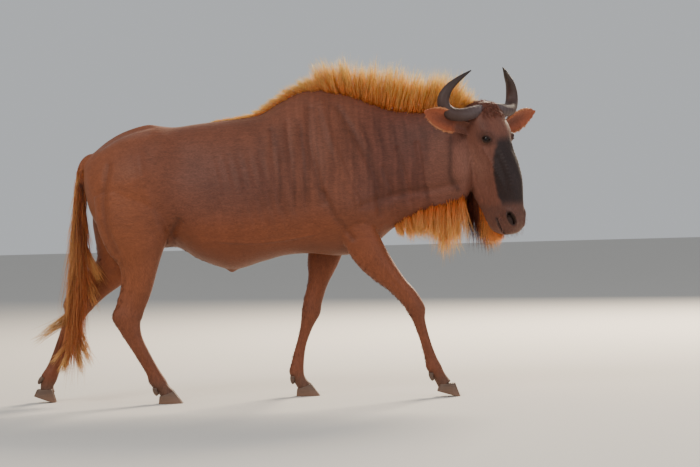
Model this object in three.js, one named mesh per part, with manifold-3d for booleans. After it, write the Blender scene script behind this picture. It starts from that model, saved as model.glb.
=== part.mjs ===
// A golden wildebeest bull at life size, walking, with its head turned towards its right side.
// Millimetres. +X is the way it walks, +Y its left side, +Z up, and the floor is z = 0.
// Heights and lengths of the trunk and legs are the outline seen from its right side.
import * as THREE from "three";
import Module from "manifold-3d";

const wasm = await Module();
wasm.setup();
const V = (x, y, z) => new THREE.Vector3(x, y, z);
const RIGHT = -1;
const LEFT = 1;
const SIDES = { right: RIGHT, left: LEFT };

// The middle of the whole outline, seen from above, which becomes the origin.
const ORIGIN = V(-298, -66, 0);
const GAP = 0.3; // between nodes that touch

// Colours and finishes.
const COAT = { color: 0x9a5232, roughness: 0.75, metalness: 0 };
const HAIR = { color: 0xdf9a4c, roughness: 0.6, metalness: 0 };
const TAIL_HAIR = { color: 0x8a4525, roughness: 0.6, metalness: 0 };
const HORN_SHEATH = { color: 0x4a3b3a, roughness: 0.42, metalness: 0 };
const HOOF_WALL = { color: 0x4b4644, roughness: 0.5, metalness: 0 };
const EYE_SURFACE = { color: 0x1c100b, roughness: 0.08, metalness: 0 };

// Trunk, from the rump to the nape: x, top, bottom, half width, sideways shift,
// height share of the widest level, and the roundness of the upper and lower half.
const TRUNK = [
  [-1158, 1060, 930, 34, 0, 0.5, 2.0, 2.0],
  [-1132, 1086, 830, 92, 0, 0.5, 1.9, 2.0],
  [-1075, 1128, 735, 140, 0, 0.52, 1.9, 2.1],
  [-985, 1180, 680, 172, 0, 0.55, 1.8, 2.2],
  [-870, 1212, 668, 188, 0, 0.56, 1.8, 2.2],
  [-760, 1203, 676, 188, 0, 0.52, 1.9, 2.2],
  [-660, 1214, 619, 203, 0, 0.46, 2.0, 2.2],
  [-520, 1229, 573, 219, 0, 0.44, 2.0, 2.1],
  [-390, 1246, 603, 220, 0, 0.44, 1.9, 2.1],
  [-285, 1302, 629, 212, 0, 0.42, 1.75, 2.1],
  [-175, 1351, 634, 202, 0, 0.4, 1.6, 2.1],
  [-60, 1339, 622, 196, 0, 0.4, 1.6, 2.1],
  [30, 1315, 632, 178, -2, 0.42, 1.65, 2.1],
  [115, 1281, 674, 150, -8, 0.43, 1.75, 2.1],
  [190, 1254, 735, 124, -22, 0.44, 1.85, 2.0],
  [270, 1243, 776, 106, -44, 0.45, 1.9, 2.0],
  [350, 1238, 808, 96, -70, 0.46, 2.0, 2.0],
  [430, 1240, 824, 90, -94, 0.48, 2.0, 2.0],
  [500, 1216, 850, 78, -114, 0.5, 2.0, 2.0],
  [548, 1150, 930, 46, -126, 0.5, 2.0, 2.0],
];
const TRUNK_SIDES = 24;
const TRUNK_RINGS = 36;

// Swellings and hollows of the trunk's sides: x, z, reach along x, reach along z, height.
const MUSCLES = {
  haunch: [-975, 930, 130, 170, 16],
  hipBone: [-800, 1150, 46, 40, 15],
  flankHollow: [-705, 1060, 80, 90, -15],
  rearRibs: [-480, 860, 120, 150, 5],
  shoulderBlade: [-75, 1060, 60, 170, 15],
  upperArm: [-15, 830, 95, 90, 20],
  shoulderPoint: [75, 800, 60, 80, 14],
  girthHollow: [-185, 790, 60, 120, -9],
  neckGroove: [210, 880, 120, 40, -9],
};

// The cut between neck and torso runs down the front of the shoulder blade.
const NECK_CUT_TOP = V(-190, 0, 1352);
const NECK_CUT_FOOT = V(128, 0, 672);

// Half depth and half width of the legs at each joint, from the top down.
const FORE_GIRTHS = {
  shoulder: [80, 48],
  elbow: [72, 50],
  forearm: [45, 38],
  aboveKnee: [41, 34],
  knee: [38, 35],
  belowKnee: [26, 25],
  cannon: [22, 20],
  aboveFetlock: [26, 22],
  fetlock: [31, 28],
  pastern: [27, 25],
  coronet: [31, 30],
};
const HIND_GIRTHS = {
  hip: [150, 70],
  thigh: [160, 84],
  stifle: [134, 78],
  gaskin: [86, 58],
  lowerGaskin: [67, 43],
  aboveHock: [62, 35],
  hock: [61, 37],
  belowHock: [48, 32],
  cannonTop: [36, 27],
  cannon: [31, 24],
  aboveFetlock: [29, 24],
  fetlock: [34, 30],
  pastern: [29, 27],
  coronet: [32, 31],
};

// The pose of each leg: joint centres down the leg as x and z, and how far it stands to the side.
const LEGS = {
  right_fore: {
    girths: FORE_GIRTHS,
    path: [
      [15, 760],
      [92, 616],
      [190, 501],
      [250, 433],
      [276, 385],
      [292, 327],
      [317, 238],
      [337, 168],
      [353, 124],
      [373, 88],
      [396, 50],
    ],
    side: RIGHT,
    apart: 117,
    reach: [-20, 620],
    topLevel: 612,
    middleJoint: 4,
    toe: 464,
    pitch: 16,
  },
  left_fore: {
    girths: FORE_GIRTHS,
    path: [
      [-70, 770],
      [-118, 616],
      [-147, 505],
      [-170, 428],
      [-186, 366],
      [-206, 300],
      [-227, 234],
      [-243, 168],
      [-251, 106],
      [-238, 70],
      [-214, 36],
    ],
    side: LEFT,
    apart: 115,
    reach: [-420, 100],
    topLevel: 612,
    middleJoint: 4,
    toe: -150,
    pitch: 0,
  },
  right_hind: {
    girths: HIND_GIRTHS,
    path: [
      [-960, 930],
      [-940, 800],
      [-930, 695],
      [-922, 602],
      [-936, 500],
      [-962, 425],
      [-974, 378],
      [-968, 334],
      [-948, 280],
      [-918, 222],
      [-878, 148],
      [-849, 92],
      [-828, 62],
      [-806, 36],
    ],
    side: RIGHT,
    apart: 116,
    reach: [-1300, -690],
    topLevel: 655,
    middleJoint: 7,
    toe: -744,
    pitch: 0,
  },
  left_hind: {
    girths: HIND_GIRTHS,
    path: [
      [-965, 920],
      [-980, 800],
      [-1005, 690],
      [-1052, 592],
      [-1120, 525],
      [-1176, 472],
      [-1208, 434],
      [-1226, 392],
      [-1249, 340],
      [-1281, 264],
      [-1322, 168],
      [-1348, 112],
      [-1361, 74],
      [-1358, 40],
    ],
    side: LEFT,
    apart: 116,
    reach: [-1600, -740],
    topLevel: 655,
    middleJoint: 7,
    toe: -1318,
    pitch: 20,
  },
};
const LEG_SIDES = 12;
const RINGS_PER_JOINT = 1.5;

// Cloven hooves: each foot has two claws, and two dewclaws behind the fetlock.
const CLAW = { length: 106, halfWidth: 18, frontHeight: 52, heelHeight: 30, spread: 19 };
const CLAW_SIDES = 10;
const CLAW_WALL_SLOPE = 0.72; // how far the front wall leans back, for each unit of height
const CLAW_PARTING = 0.75; // from the middle of the foot
const FLAT_LENGTH = 16; // of the toe of a tilted hoof that stays on the floor
const DEWCLAW = { length: 34, radius: 11, spread: 19, below: 8 };

// Head. Its own frame: r to its right, f the way it faces, u up, from the poll between the horns.
const HEAD = { poll: V(606, -165, 1262), turn: 48, tilt: 4 };
// u, front, back, half width at the front, half width at the back, roundness.
const HEAD_SECTIONS = [
  [14, -4, -46, 34, 34, 2.0],
  [0, 16, -78, 60, 60, 2.2],
  [-28, 38, -110, 82, 81, 2.4],
  [-62, 60, -136, 91, 92, 2.5],
  [-104, 80, -158, 92, 95, 2.6],
  [-146, 95, -172, 86, 93, 2.6],
  [-195, 112, -180, 75, 87, 2.5],
  [-250, 138, -178, 67, 79, 2.5],
  [-310, 154, -160, 61, 70, 2.5],
  [-365, 160, -130, 57, 58, 2.5],
  [-415, 160, -96, 54, 50, 2.6],
  [-460, 158, -62, 54, 46, 2.7],
  [-500, 157, -38, 54, 46, 2.7],
  [-530, 150, -20, 49, 42, 2.5],
  [-552, 134, 4, 38, 32, 2.3],
  [-563, 110, 34, 20, 18, 2.0],
];
const HEAD_SIDES = 22;
const HEAD_RINGS = 25;
// Swellings of the head: r, f, u, reach, height. All but those at r = 0 are on both sides.
const HEAD_FORMS = {
  brow: [80, 64, -114, 26, 8],
  orbitBack: [92, 16, -140, 26, 4],
  cheekBone: [80, 30, -205, 34, 5],
  cheek: [76, -70, -240, 60, 7],
  belowCheek: [62, 20, -350, 45, -8],
  noseBridge: [0, 150, -330, 60, 4],
  noseSide: [56, 110, -400, 30, -6],
  nostrilWing: [50, 124, -480, 24, 8],
  chin: [28, 20, -530, 26, 5],
};
const EYE = { at: V(68, 54, -146), radius: 19, lid: 5, axis: V(0.86, 0.5, 0.03) };
const EYE_OPENING = { length: 35, height: 18, depth: 60 };
const NOSTRILS = [
  { at: V(37, 147, -505), radii: V(12, 22, 19) },
  { at: V(46, 134, -484), radii: V(10, 22, 22) },
];
const MOUTH = { corner: V(0, 56, -486), end: V(0, 98, -600), width: 200, height: 3 };

// Horn: place to the side, forwards and up from the poll, and radius.
const HORN_PATH = [
  [12, -18, -22, 27],
  [46, -6, -24, 28],
  [92, -6, -30, 28],
  [140, -18, -34, 28],
  [182, -38, -24, 28.5],
  [206, -50, 4, 27.5],
  [209, -50, 42, 25],
  [191, -38, 80, 20],
  [158, -20, 111, 14],
  [124, 2, 136, 8],
  [97, 18, 153, 2.5],
];
const HORN_SIDES = 10;
const HORN_RINGS = 18;
const HORN_PARTING = 1.5; // from the middle of the brow

// Ear: root and tip from the poll; half width of the leaf, depth of its cup, and wall.
const EARS = {
  right: { root: V(84, -30, -104), tip: V(336, -42, -3) },
  left: { root: V(84, -30, -122), tip: V(340, -40, -52) },
};
const EAR = { halfWidth: 48, cup: 20, wall: 5, rings: 9, across: 6 };
// Share of the length, share of the half width, share of the cup.
const EAR_LEAF = [
  [0, 0.55, 0.9],
  [0.2, 0.66, 1.15],
  [0.42, 0.95, 1.1],
  [0.58, 1.0, 0.95],
  [0.75, 0.86, 0.7],
  [0.9, 0.5, 0.4],
  [1, 0.08, 0.1],
];

// Hair: x, length from the skin to the tips, lean towards the head in degrees.
const MANE_SHAPE = [
  [-190, 50, -58],
  [-150, 74, -50],
  [-110, 118, -40],
  [-60, 158, -26],
  [0, 168, -12],
  [80, 182, -2],
  [160, 202, 6],
  [260, 205, 12],
  [350, 196, 18],
  [430, 172, 22],
  [500, 132, 24],
  [546, 100, 28],
];
const WITHERS_SHAPE = [
  [-540, 46, -76],
  [-400, 66, -71],
  [-300, 80, -66],
  [-200, 88, -62],
];
const THROAT_SHAPE = [
  [200, 50, 10],
  [250, 96, 8],
  [330, 120, 2],
  [375, 150, 0],
  [410, 225, -2],
  [445, 240, -3],
  [480, 190, -4],
];
const RIDGE = { sunk: 30, footHalfWidth: 16, tipHalfWidth: 3, rings: 14 };
const CORE_SHARE = 0.42; // of the hair's length, where the ridge under the locks ends

// A lock: share of its length, and share of its half width there.
const LOCK_PROFILE = [
  [0, 0.85],
  [0.36, 1],
  [0.74, 0.6],
  [1, 0.1],
];
// Corners of its section, as shares of its half width and its thickness.
const LOCK_SECTION = [
  [-1, 0],
  [0.1, -0.9],
  [1, 0.5],
];
const LOCK = { flatness: 0.36, turn: 0.7, bend: 0.12, shortest: 0.82, leanSpread: 7 };
// Locks of each place: how many, half width, how far the roots stand to each side, and flare.
const MANE_LOCKS = { count: 38, halfWidth: 21, side: 11, flare: 0.11, seed: 11 };
const WITHERS_LOCKS = { count: 20, halfWidth: 13, side: 13, flare: 0.16, seed: 23 };
const THROAT_LOCKS = { count: 15, halfWidth: 19, side: 12, flare: 0.12, seed: 37 };
const JAW_LOCKS = { count: 15, halfWidth: 17, side: 15, flare: 0.06, seed: 41 };
// Jaw hair: level on the jaw, length, lean forwards in degrees.
const JAW_SHAPE = [
  [-548, 58, 6],
  [-510, 118, 2],
  [-460, 180, 0],
  [-400, 240, 0],
  [-340, 285, -2],
  [-300, 300, -3],
];
const JAW_RIDGE = { rings: 7, footHalfWidth: 14, drop: 1, swing: 0.02 };

// Tail: x, z, half depth, half width.
const TAIL = [
  [-1098, 1060, 36, 32],
  [-1130, 1062, 32, 28],
  [-1158, 1038, 28, 24],
  [-1172, 985, 26, 21],
  [-1180, 915, 25, 20],
  [-1187, 830, 30, 24],
  [-1192, 740, 38, 28],
  [-1193, 640, 58, 38],
  [-1186, 540, 74, 44],
  [-1200, 430, 70, 40],
  [-1222, 310, 58, 30],
  [-1236, 200, 40, 20],
  [-1240, 130, 8, 6],
];
const TAIL_SIDES = 8;
const TAIL_RINGS = 11;
const TAIL_CORE = { rows: 10, share: 0.5 }; // rows of the tail and share of its thickness
const TAIL_LOCKS = { count: 10, halfWidth: 25, from: 0.42, to: 0.68, reach: 0.4, seed: 59 };
// Tips of the loose outer locks of the tail: x, z, sideways.
const TAIL_WISPS = [
  [-1405, 268, 8],
  [-1364, 311, -14],
  [-1341, 177, 12],
  [-1305, 134, -8],
  [-1278, 127, 16],
  [-1188, 131, -12],
  [-1145, 156, 10],
  [-1087, 515, -6],
  [-1115, 410, 12],
];
const WISP = { rise: 200, halfWidth: 16 };
const TUFT_TOP = 880; // where the tuft takes over from the dock

const TAIL_BY_HEIGHT = TAIL.slice(2).reverse().map(([x, z]) => [z, x]);

const degrees = THREE.MathUtils.degToRad;
const mix = THREE.MathUtils.lerp;
const WORLD_AXES = [V(1, 0, 0), V(0, 1, 0), V(0, 0, 1)];

// A power that keeps the sign, which rounds or squares a section.
function roundPower(value, roundness) {
  return Math.sign(value) * Math.abs(value) ** (2 / roundness);
}

// The row of a table at a share of its whole length, on a smooth curve through its rows.
function smoothRow(rows, share) {
  const place = share * (rows.length - 1);
  const i = Math.min(Math.floor(place), rows.length - 2);
  const t = place - i;
  const before = rows[Math.max(i - 1, 0)];
  const end = rows[i + 1];
  const after = rows[Math.min(i + 2, rows.length - 1)];
  return rows[i].map((value, k) => {
    const slopeIn = (end[k] - before[k]) / 2;
    const slopeOut = (after[k] - value) / 2;
    const rise = end[k] - value;
    const bend = 3 * rise - 2 * slopeIn - slopeOut;
    const twist = slopeIn + slopeOut - 2 * rise;
    return value + slopeIn * t + bend * t * t + twist * t * t * t;
  });
}

// The row of a table at a value of its first column, by straight lines between rows.
function rowAt(rows, at) {
  let i = 0;
  while (i < rows.length - 2 && at > rows[i + 1][0]) {
    i += 1;
  }
  const t = THREE.MathUtils.clamp((at - rows[i][0]) / (rows[i + 1][0] - rows[i][0]), 0, 1);
  return rows[i].map((value, k) => mix(value, rows[i + 1][k], t));
}

// A closed body from points and faces, turned outside out if need be.
function toSolid(points, faces) {
  const volume = faces.reduce((sum, [a, b, c]) => {
    return sum + points[a].dot(points[b].clone().cross(points[c]));
  }, 0);
  const outward = volume > 0 ? faces : faces.map(([a, b, c]) => [a, c, b]);
  const mesh = new wasm.Mesh({
    numProp: 3,
    vertProperties: Float32Array.from(points.flatMap((p) => [p.x, p.y, p.z])),
    triVerts: Uint32Array.from(outward.flat()),
  });
  return new wasm.Manifold(mesh);
}

// A closed body through rings of points, with a fan over each end.
function solidThrough(rings) {
  const count = rings[0].length;
  const points = rings.flat();
  const faces = [];
  for (let k = 0; k + 1 < rings.length; k += 1) {
    for (let i = 0; i < count; i += 1) {
      const a = k * count + i;
      const b = k * count + ((i + 1) % count);
      faces.push([a, b, b + count], [a, b + count, a + count]);
    }
  }
  for (const end of [0, rings.length - 1]) {
    const middle = V(0, 0, 0);
    rings[end].forEach((p) => middle.addScaledVector(p, 1 / count));
    const tip = points.push(middle) - 1;
    for (let i = 0; i < count; i += 1) {
      const a = end * count + i;
      const b = end * count + ((i + 1) % count);
      faces.push(end === 0 ? [tip, b, a] : [tip, a, b]);
    }
  }
  return toSolid(points, faces);
}

function joined(solids) {
  return solids.reduce((all, solid) => all.add(solid));
}

// The largest closed surface of a body.
function largest(solid) {
  const pieces = solid.decompose();
  return pieces.reduce((best, piece) => (piece.volume() > best.volume() ? piece : best));
}

// A block, as its middle, its three directions and its size along them.
function block(middle, axes, size) {
  const rings = [-0.5, 0.5].map((z) => {
    const corners = [[-0.5, -0.5], [0.5, -0.5], [0.5, 0.5], [-0.5, 0.5]];
    return corners.map(([x, y]) => {
      const p = middle.clone().addScaledVector(axes[0], x * size[0]);
      p.addScaledVector(axes[1], y * size[1]);
      return p.addScaledVector(axes[2], z * size[2]);
    });
  });
  return solidThrough(rings);
}

// Everything on one side of a plane, within a block far larger than the animal.
function halfSpace(at, normal) {
  const n = normal.clone().normalize();
  const across = Math.abs(n.y) < 0.9 ? V(0, 1, 0) : V(1, 0, 0);
  const a = across.clone().cross(n).normalize();
  const b = n.clone().cross(a);
  const reach = 4000;
  return block(at.clone().addScaledVector(n, reach / 2), [a, b, n], [reach, reach, reach]);
}

// An egg shape, as rings from one pole to the other.
function egg(middle, radii, axes, rows, sides) {
  const rings = [];
  for (let k = 0; k < rows; k += 1) {
    const rise = (Math.PI * (k + 0.5)) / rows - Math.PI / 2;
    const ring = [];
    for (let i = 0; i < sides; i += 1) {
      const angle = (2 * Math.PI * i) / sides;
      const p = middle.clone().addScaledVector(axes[0], Math.cos(rise) * Math.cos(angle) * radii.x);
      p.addScaledVector(axes[1], Math.cos(rise) * Math.sin(angle) * radii.y);
      p.addScaledVector(axes[2], Math.sin(rise) * radii.z);
      ring.push(p);
    }
    rings.push(ring);
  }
  return solidThrough(rings);
}

// A tube along rows of x, y, z and two half sizes; `side` is roughly across the path.
function tube(stations, ringCount, sides, side) {
  const centreAt = (share) => V(...smoothRow(stations, share).slice(0, 3));
  const rings = [];
  for (let k = 0; k <= ringCount; k += 1) {
    const share = k / ringCount;
    const row = smoothRow(stations, share);
    const ahead = centreAt(Math.min(share + 0.02, 1));
    const along = ahead.sub(centreAt(Math.max(share - 0.02, 0))).normalize();
    const depth = side.clone().cross(along).normalize();
    const width = along.clone().cross(depth).normalize();
    const ring = [];
    for (let i = 0; i < sides; i += 1) {
      const angle = (2 * Math.PI * i) / sides;
      const p = V(row[0], row[1], row[2]);
      p.addScaledVector(depth, Math.cos(angle) * row[3]);
      p.addScaledVector(width, Math.sin(angle) * row[4]);
      ring.push(p);
    }
    rings.push(ring);
  }
  return solidThrough(rings);
}

// Trunk: rump, barrel, chest and neck in one body.
function muscleAt(x, z) {
  return Object.values(MUSCLES).reduce((sum, [mx, mz, reachX, reachZ, height]) => {
    return sum + height * Math.exp(-(((x - mx) / reachX) ** 2) - ((z - mz) / reachZ) ** 2);
  }, 0);
}

function trunk(grow) {
  const rings = [];
  for (let k = 0; k <= TRUNK_RINGS; k += 1) {
    const row = smoothRow(TRUNK, k / TRUNK_RINGS);
    const [x, top, bottom, halfWidth, shift, level, roundTop, roundBottom] = row;
    const middle = mix(bottom, top, level);
    const ring = [];
    for (let i = 0; i < TRUNK_SIDES; i += 1) {
      const angle = (2 * Math.PI * i) / TRUNK_SIDES;
      const up = Math.sin(angle);
      const out = Math.cos(angle);
      const roundness = up > 0 ? roundTop : roundBottom;
      const height = (up > 0 ? top - middle : middle - bottom) + grow;
      const z = middle + roundPower(up, roundness) * height;
      const swell = muscleAt(x, z) * out;
      ring.push(V(x, shift + roundPower(out, roundness) * (halfWidth + grow) + swell, z));
    }
    rings.push(ring);
  }
  return solidThrough(rings);
}

// The middle of the trunk's top or underside at a place along it.
function trunkEdge(x, upper) {
  const row = rowAt(TRUNK, x);
  return V(x, row[4], upper ? row[1] : row[2]);
}

function neckCut() {
  const down = NECK_CUT_FOOT.clone().sub(NECK_CUT_TOP);
  return V(-down.z, 0, down.x).normalize();
}

// One leg, from inside the trunk to inside the hoof.
function jointAt(leg, k) {
  return V(leg.path[k][0], leg.side * leg.apart, leg.path[k][1]);
}

function wholeLeg(leg) {
  const girths = Object.values(leg.girths);
  const stations = leg.path.map((row, k) => [...jointAt(leg, k).toArray(), ...girths[k]]);
  const rings = Math.round((stations.length - 1) * RINGS_PER_JOINT);
  return tube(stations, rings, LEG_SIDES, V(0, 1, 0));
}

function legSpace(leg) {
  const [rear, front] = leg.reach;
  const middle = V((rear + front) / 2, leg.side * 160, leg.topLevel / 2 - 100);
  return block(middle, WORLD_AXES, [front - rear, 300, leg.topLevel + 200]);
}

// A hoof's own frame: x back from the toe is minus, and a tilted hoof turns about its toe.
function hoofPoint(leg, p) {
  const pivot = leg.pitch > 0 ? FLAT_LENGTH : 0;
  const turn = degrees(leg.pitch);
  const x = p.x + pivot;
  const tiltedX = x * Math.cos(turn) + p.z * Math.sin(turn);
  const tiltedZ = -x * Math.sin(turn) + p.z * Math.cos(turn);
  return V(leg.toe - pivot + tiltedX, leg.side * leg.apart + p.y, tiltedZ);
}

function claw(leg, sideways) {
  const rings = [];
  for (const share of [0, 0.12, 0.5, 0.85, 1.3]) {
    const ring = [];
    const swell = 1 - 0.16 * share;
    for (let i = 0; i < CLAW_SIDES; i += 1) {
      const angle = (2 * Math.PI * i) / CLAW_SIDES;
      const along = Math.cos(angle);
      const reach = (along + 1) / 2;
      const z = share * mix(CLAW.heelHeight, CLAW.frontHeight, reach);
      const x = mix(-CLAW.length + z * 0.1, -z * CLAW_WALL_SLOPE, reach);
      const narrow = along > 0 ? 1 - 0.28 * along * along : 1;
      const halfWidth = CLAW.halfWidth * swell * narrow;
      const y = sideways * CLAW.spread + roundPower(Math.sin(angle), 2.6) * halfWidth;
      ring.push(hoofPoint(leg, V(x, y, z)));
    }
    rings.push(ring);
  }
  const ownSide = halfSpace(hoofPoint(leg, V(0, sideways * CLAW_PARTING, 0)), V(0, sideways, 0));
  const coronet = coronetPlane(leg);
  const belowCoronet = halfSpace(coronet.at, coronet.normal.negate());
  const aboveFloor = halfSpace(V(0, 0, 0), V(0, 0, 1));
  return solidThrough(rings).intersect(ownSide).intersect(belowCoronet).intersect(aboveFloor);
}

function coronetPlane(leg) {
  const front = hoofPoint(leg, V(0, 0, CLAW.frontHeight));
  const heel = hoofPoint(leg, V(-CLAW.length, 0, CLAW.heelHeight));
  const along = front.sub(heel);
  return { at: heel, normal: V(-along.z, 0, along.x).normalize() };
}

function dewclaw(leg, sideways) {
  const k = leg.path.length - 3;
  const along = jointAt(leg, k + 1).sub(jointAt(leg, k)).normalize();
  const back = V(0, 1, 0).cross(along).normalize();
  if (back.x > 0) {
    back.negate();
  }
  const root = jointAt(leg, k).addScaledVector(back, Object.values(leg.girths)[k][0] - 8);
  root.addScaledVector(along, DEWCLAW.below);
  root.y += sideways * DEWCLAW.spread;
  const stations = [0, 0.35, 0.75, 1].map((share) => {
    const p = root.clone().addScaledVector(along, DEWCLAW.length * share);
    p.addScaledVector(back, 10 * Math.sin(share * 2));
    const radius = DEWCLAW.radius * Math.sqrt(1 - 0.85 * share * share);
    return [...p.toArray(), radius, radius * 0.9];
  });
  return tube(stations, 4, 8, V(0, 1, 0));
}

// Head frame.
function headAxes() {
  const turn = degrees(HEAD.turn);
  const tilt = degrees(HEAD.tilt);
  const faces = V(Math.cos(turn), -Math.sin(turn), 0);
  const levelRight = V(-Math.sin(turn), -Math.cos(turn), 0);
  const right = levelRight.clone().multiplyScalar(Math.cos(tilt));
  right.z -= Math.sin(tilt);
  return [right, faces, right.clone().cross(faces)];
}
const HEAD_AXES = headAxes();

function headPoint(p, side = RIGHT) {
  const q = HEAD.poll.clone().addScaledVector(HEAD_AXES[0], -side * p.x);
  return q.addScaledVector(HEAD_AXES[1], p.y).addScaledVector(HEAD_AXES[2], p.z);
}

function headDirection(p, side = RIGHT) {
  return headPoint(p, side).sub(HEAD.poll).normalize();
}

// A point of the bare skull pushed out by the forms near it.
function withHeadForms(p, outward) {
  let push = 0;
  for (const [r, f, u, reach, height] of Object.values(HEAD_FORMS)) {
    const distance = Math.hypot(Math.abs(p.x) - r, p.y - f, p.z - u);
    push += height * Math.exp(-((distance / reach) ** 2));
  }
  return p.addScaledVector(outward, push);
}

function skull(grow) {
  const rings = [];
  for (let k = 0; k <= HEAD_RINGS; k += 1) {
    const row = smoothRow(HEAD_SECTIONS, k / HEAD_RINGS);
    const [u, front, back, halfFront, halfBack, roundness] = row;
    const middle = (front + back) / 2;
    const halfDepth = (front - back) / 2 + grow;
    const ring = [];
    for (let i = 0; i < HEAD_SIDES; i += 1) {
      const angle = (2 * Math.PI * i) / HEAD_SIDES;
      const ahead = roundPower(Math.cos(angle), roundness);
      const halfWidth = mix(halfBack, halfFront, (ahead + 1) / 2) + grow;
      const r = roundPower(Math.sin(angle), roundness) * halfWidth;
      const outward = V(Math.sin(angle), Math.cos(angle), 0);
      ring.push(headPoint(withHeadForms(V(r, middle + ahead * halfDepth, u), outward)));
    }
    rings.push(ring);
  }
  return solidThrough(rings);
}

// The almond of the eyelids, as a bar along the way the eye looks.
function eyeOpening(side) {
  const look = headDirection(EYE.axis, side);
  const along = headDirection(V(-0.5, 0.86, -0.28), side);
  const lift = look.clone().cross(along).normalize();
  const rings = [0, EYE_OPENING.depth].map((distance) => {
    const ring = [];
    for (let i = 0; i < 16; i += 1) {
      const angle = (2 * Math.PI * i) / 16;
      const p = headPoint(EYE.at, side).addScaledVector(look, distance);
      p.addScaledVector(along, (Math.cos(angle) * EYE_OPENING.length) / 2);
      p.addScaledVector(lift, (roundPower(Math.sin(angle), 1.5) * EYE_OPENING.height) / 2);
      ring.push(p);
    }
    return ring;
  });
  return solidThrough(rings);
}

function eyeBall(side, grow) {
  const radius = EYE.radius + grow;
  return egg(headPoint(EYE.at, side), V(radius, radius, radius), WORLD_AXES, 8, 14);
}

function mouthSlit() {
  const corner = headPoint(MOUTH.corner);
  const end = headPoint(MOUTH.end);
  const along = end.clone().sub(corner);
  const length = along.length();
  along.normalize();
  const normal = along.clone().cross(HEAD_AXES[0]);
  const middle = corner.add(end).multiplyScalar(0.5);
  return block(middle, [along, HEAD_AXES[0], normal], [length, MOUTH.width, MOUTH.height]);
}

function wholeHead() {
  let head = joined([skull(0), eyeBall(RIGHT, EYE.lid), eyeBall(LEFT, EYE.lid)]);
  for (const side of [RIGHT, LEFT]) {
    head = head.subtract(eyeBall(side, GAP)).subtract(eyeOpening(side));
    const axes = [headDirection(V(1, 0, 0), side), HEAD_AXES[1], HEAD_AXES[2]];
    for (const nostril of NOSTRILS) {
      head = head.subtract(egg(headPoint(nostril.at, side), nostril.radii, axes, 6, 12));
    }
  }
  return head.subtract(mouthSlit());
}

function horn(side) {
  const stations = HORN_PATH.map(([r, f, u, radius]) => {
    return [...headPoint(V(r, f, u), side).toArray(), radius, radius];
  });
  const whole = tube(stations, HORN_RINGS, HORN_SIDES, HEAD_AXES[1]);
  const outward = headDirection(V(1, 0, 0), side);
  return whole.intersect(halfSpace(headPoint(V(HORN_PARTING, 0, 0), side), outward));
}

// An ear: a cupped leaf that opens forwards.
function ear(side, place) {
  const root = headPoint(place.root, side);
  const along = headPoint(place.tip, side).sub(root);
  const opening = headDirection(V(0.25, 1, -0.25), side);
  const across = along.clone().cross(opening).normalize();
  const deep = across.clone().cross(along).normalize();
  const rings = [];
  for (let k = 0; k <= EAR.rings; k += 1) {
    const share = k / EAR.rings;
    const leaf = rowAt(EAR_LEAF, share);
    const centre = root.clone().addScaledVector(along, share);
    const wall = EAR.wall * (1 - 0.4 * share);
    const ring = [];
    for (const inner of [0, 1]) {
      for (let i = 0; i <= EAR.across; i += 1) {
        const t = (inner === 0 ? 1 : -1) * ((2 * i) / EAR.across - 1);
        const p = centre.clone();
        p.addScaledVector(across, t * (EAR.halfWidth * leaf[1] - inner * 1.5));
        p.addScaledVector(deep, EAR.cup * leaf[2] * (t * t - 1) + inner * wall);
        ring.push(p);
      }
    }
    rings.push(ring);
  }
  return solidThrough(rings);
}

// A thin ridge of hair between a line of feet and a line of tips.
function ridge(feet, tips, across, footHalfWidth) {
  const rings = feet.map((foot, k) => {
    const ring = [];
    for (const sideways of [-1, 1]) {
      for (const share of sideways < 0 ? [0, 0.5, 1] : [1, 0.5, 0]) {
        const p = foot.clone().lerp(tips[k], share);
        const halfWidth = mix(footHalfWidth, RIDGE.tipHalfWidth, share);
        ring.push(p.addScaledVector(across, sideways * halfWidth));
      }
    }
    return ring;
  });
  return solidThrough(rings);
}

// A run of even numbers from 0 to 1 that is the same every time.
function seeded(seed) {
  let state = seed;
  return () => {
    state = (state * 1664525 + 1013904223) % 4294967296;
    return state / 4294967296;
  };
}

// A flat lock that bends and tapers from its root to its tip.
function lock(root, tip, flat, bend, halfWidth) {
  const length = tip.distanceTo(root);
  const way = tip.clone().sub(root).divideScalar(length).sub(bend);
  const rings = LOCK_PROFILE.map(([share, width]) => {
    const along = way.clone().addScaledVector(bend, 2 * share).normalize();
    const across = flat.clone().cross(along).normalize();
    const deep = along.clone().cross(across);
    const centre = root.clone().addScaledVector(way, share * length);
    centre.addScaledVector(bend, share * share * length);
    return LOCK_SECTION.map(([sideways, raised]) => {
      const p = centre.clone().addScaledVector(across, sideways * halfWidth * width);
      return p.addScaledVector(deep, raised * LOCK.flatness * halfWidth * width);
    });
  });
  return solidThrough(rings);
}

// A lock whose flat side faces about sideways, turned and bent a little by chance.
function looseLock(root, tip, sideways, halfWidth, random) {
  const flat = sideways.clone();
  flat.x += LOCK.turn * (random() - 0.5);
  flat.z += LOCK.turn * (random() - 0.5);
  const bend = V(random() - 0.5, random() - 0.5, 0).multiplyScalar(LOCK.bend);
  return lock(root, tip, flat, bend, halfWidth);
}

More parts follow.
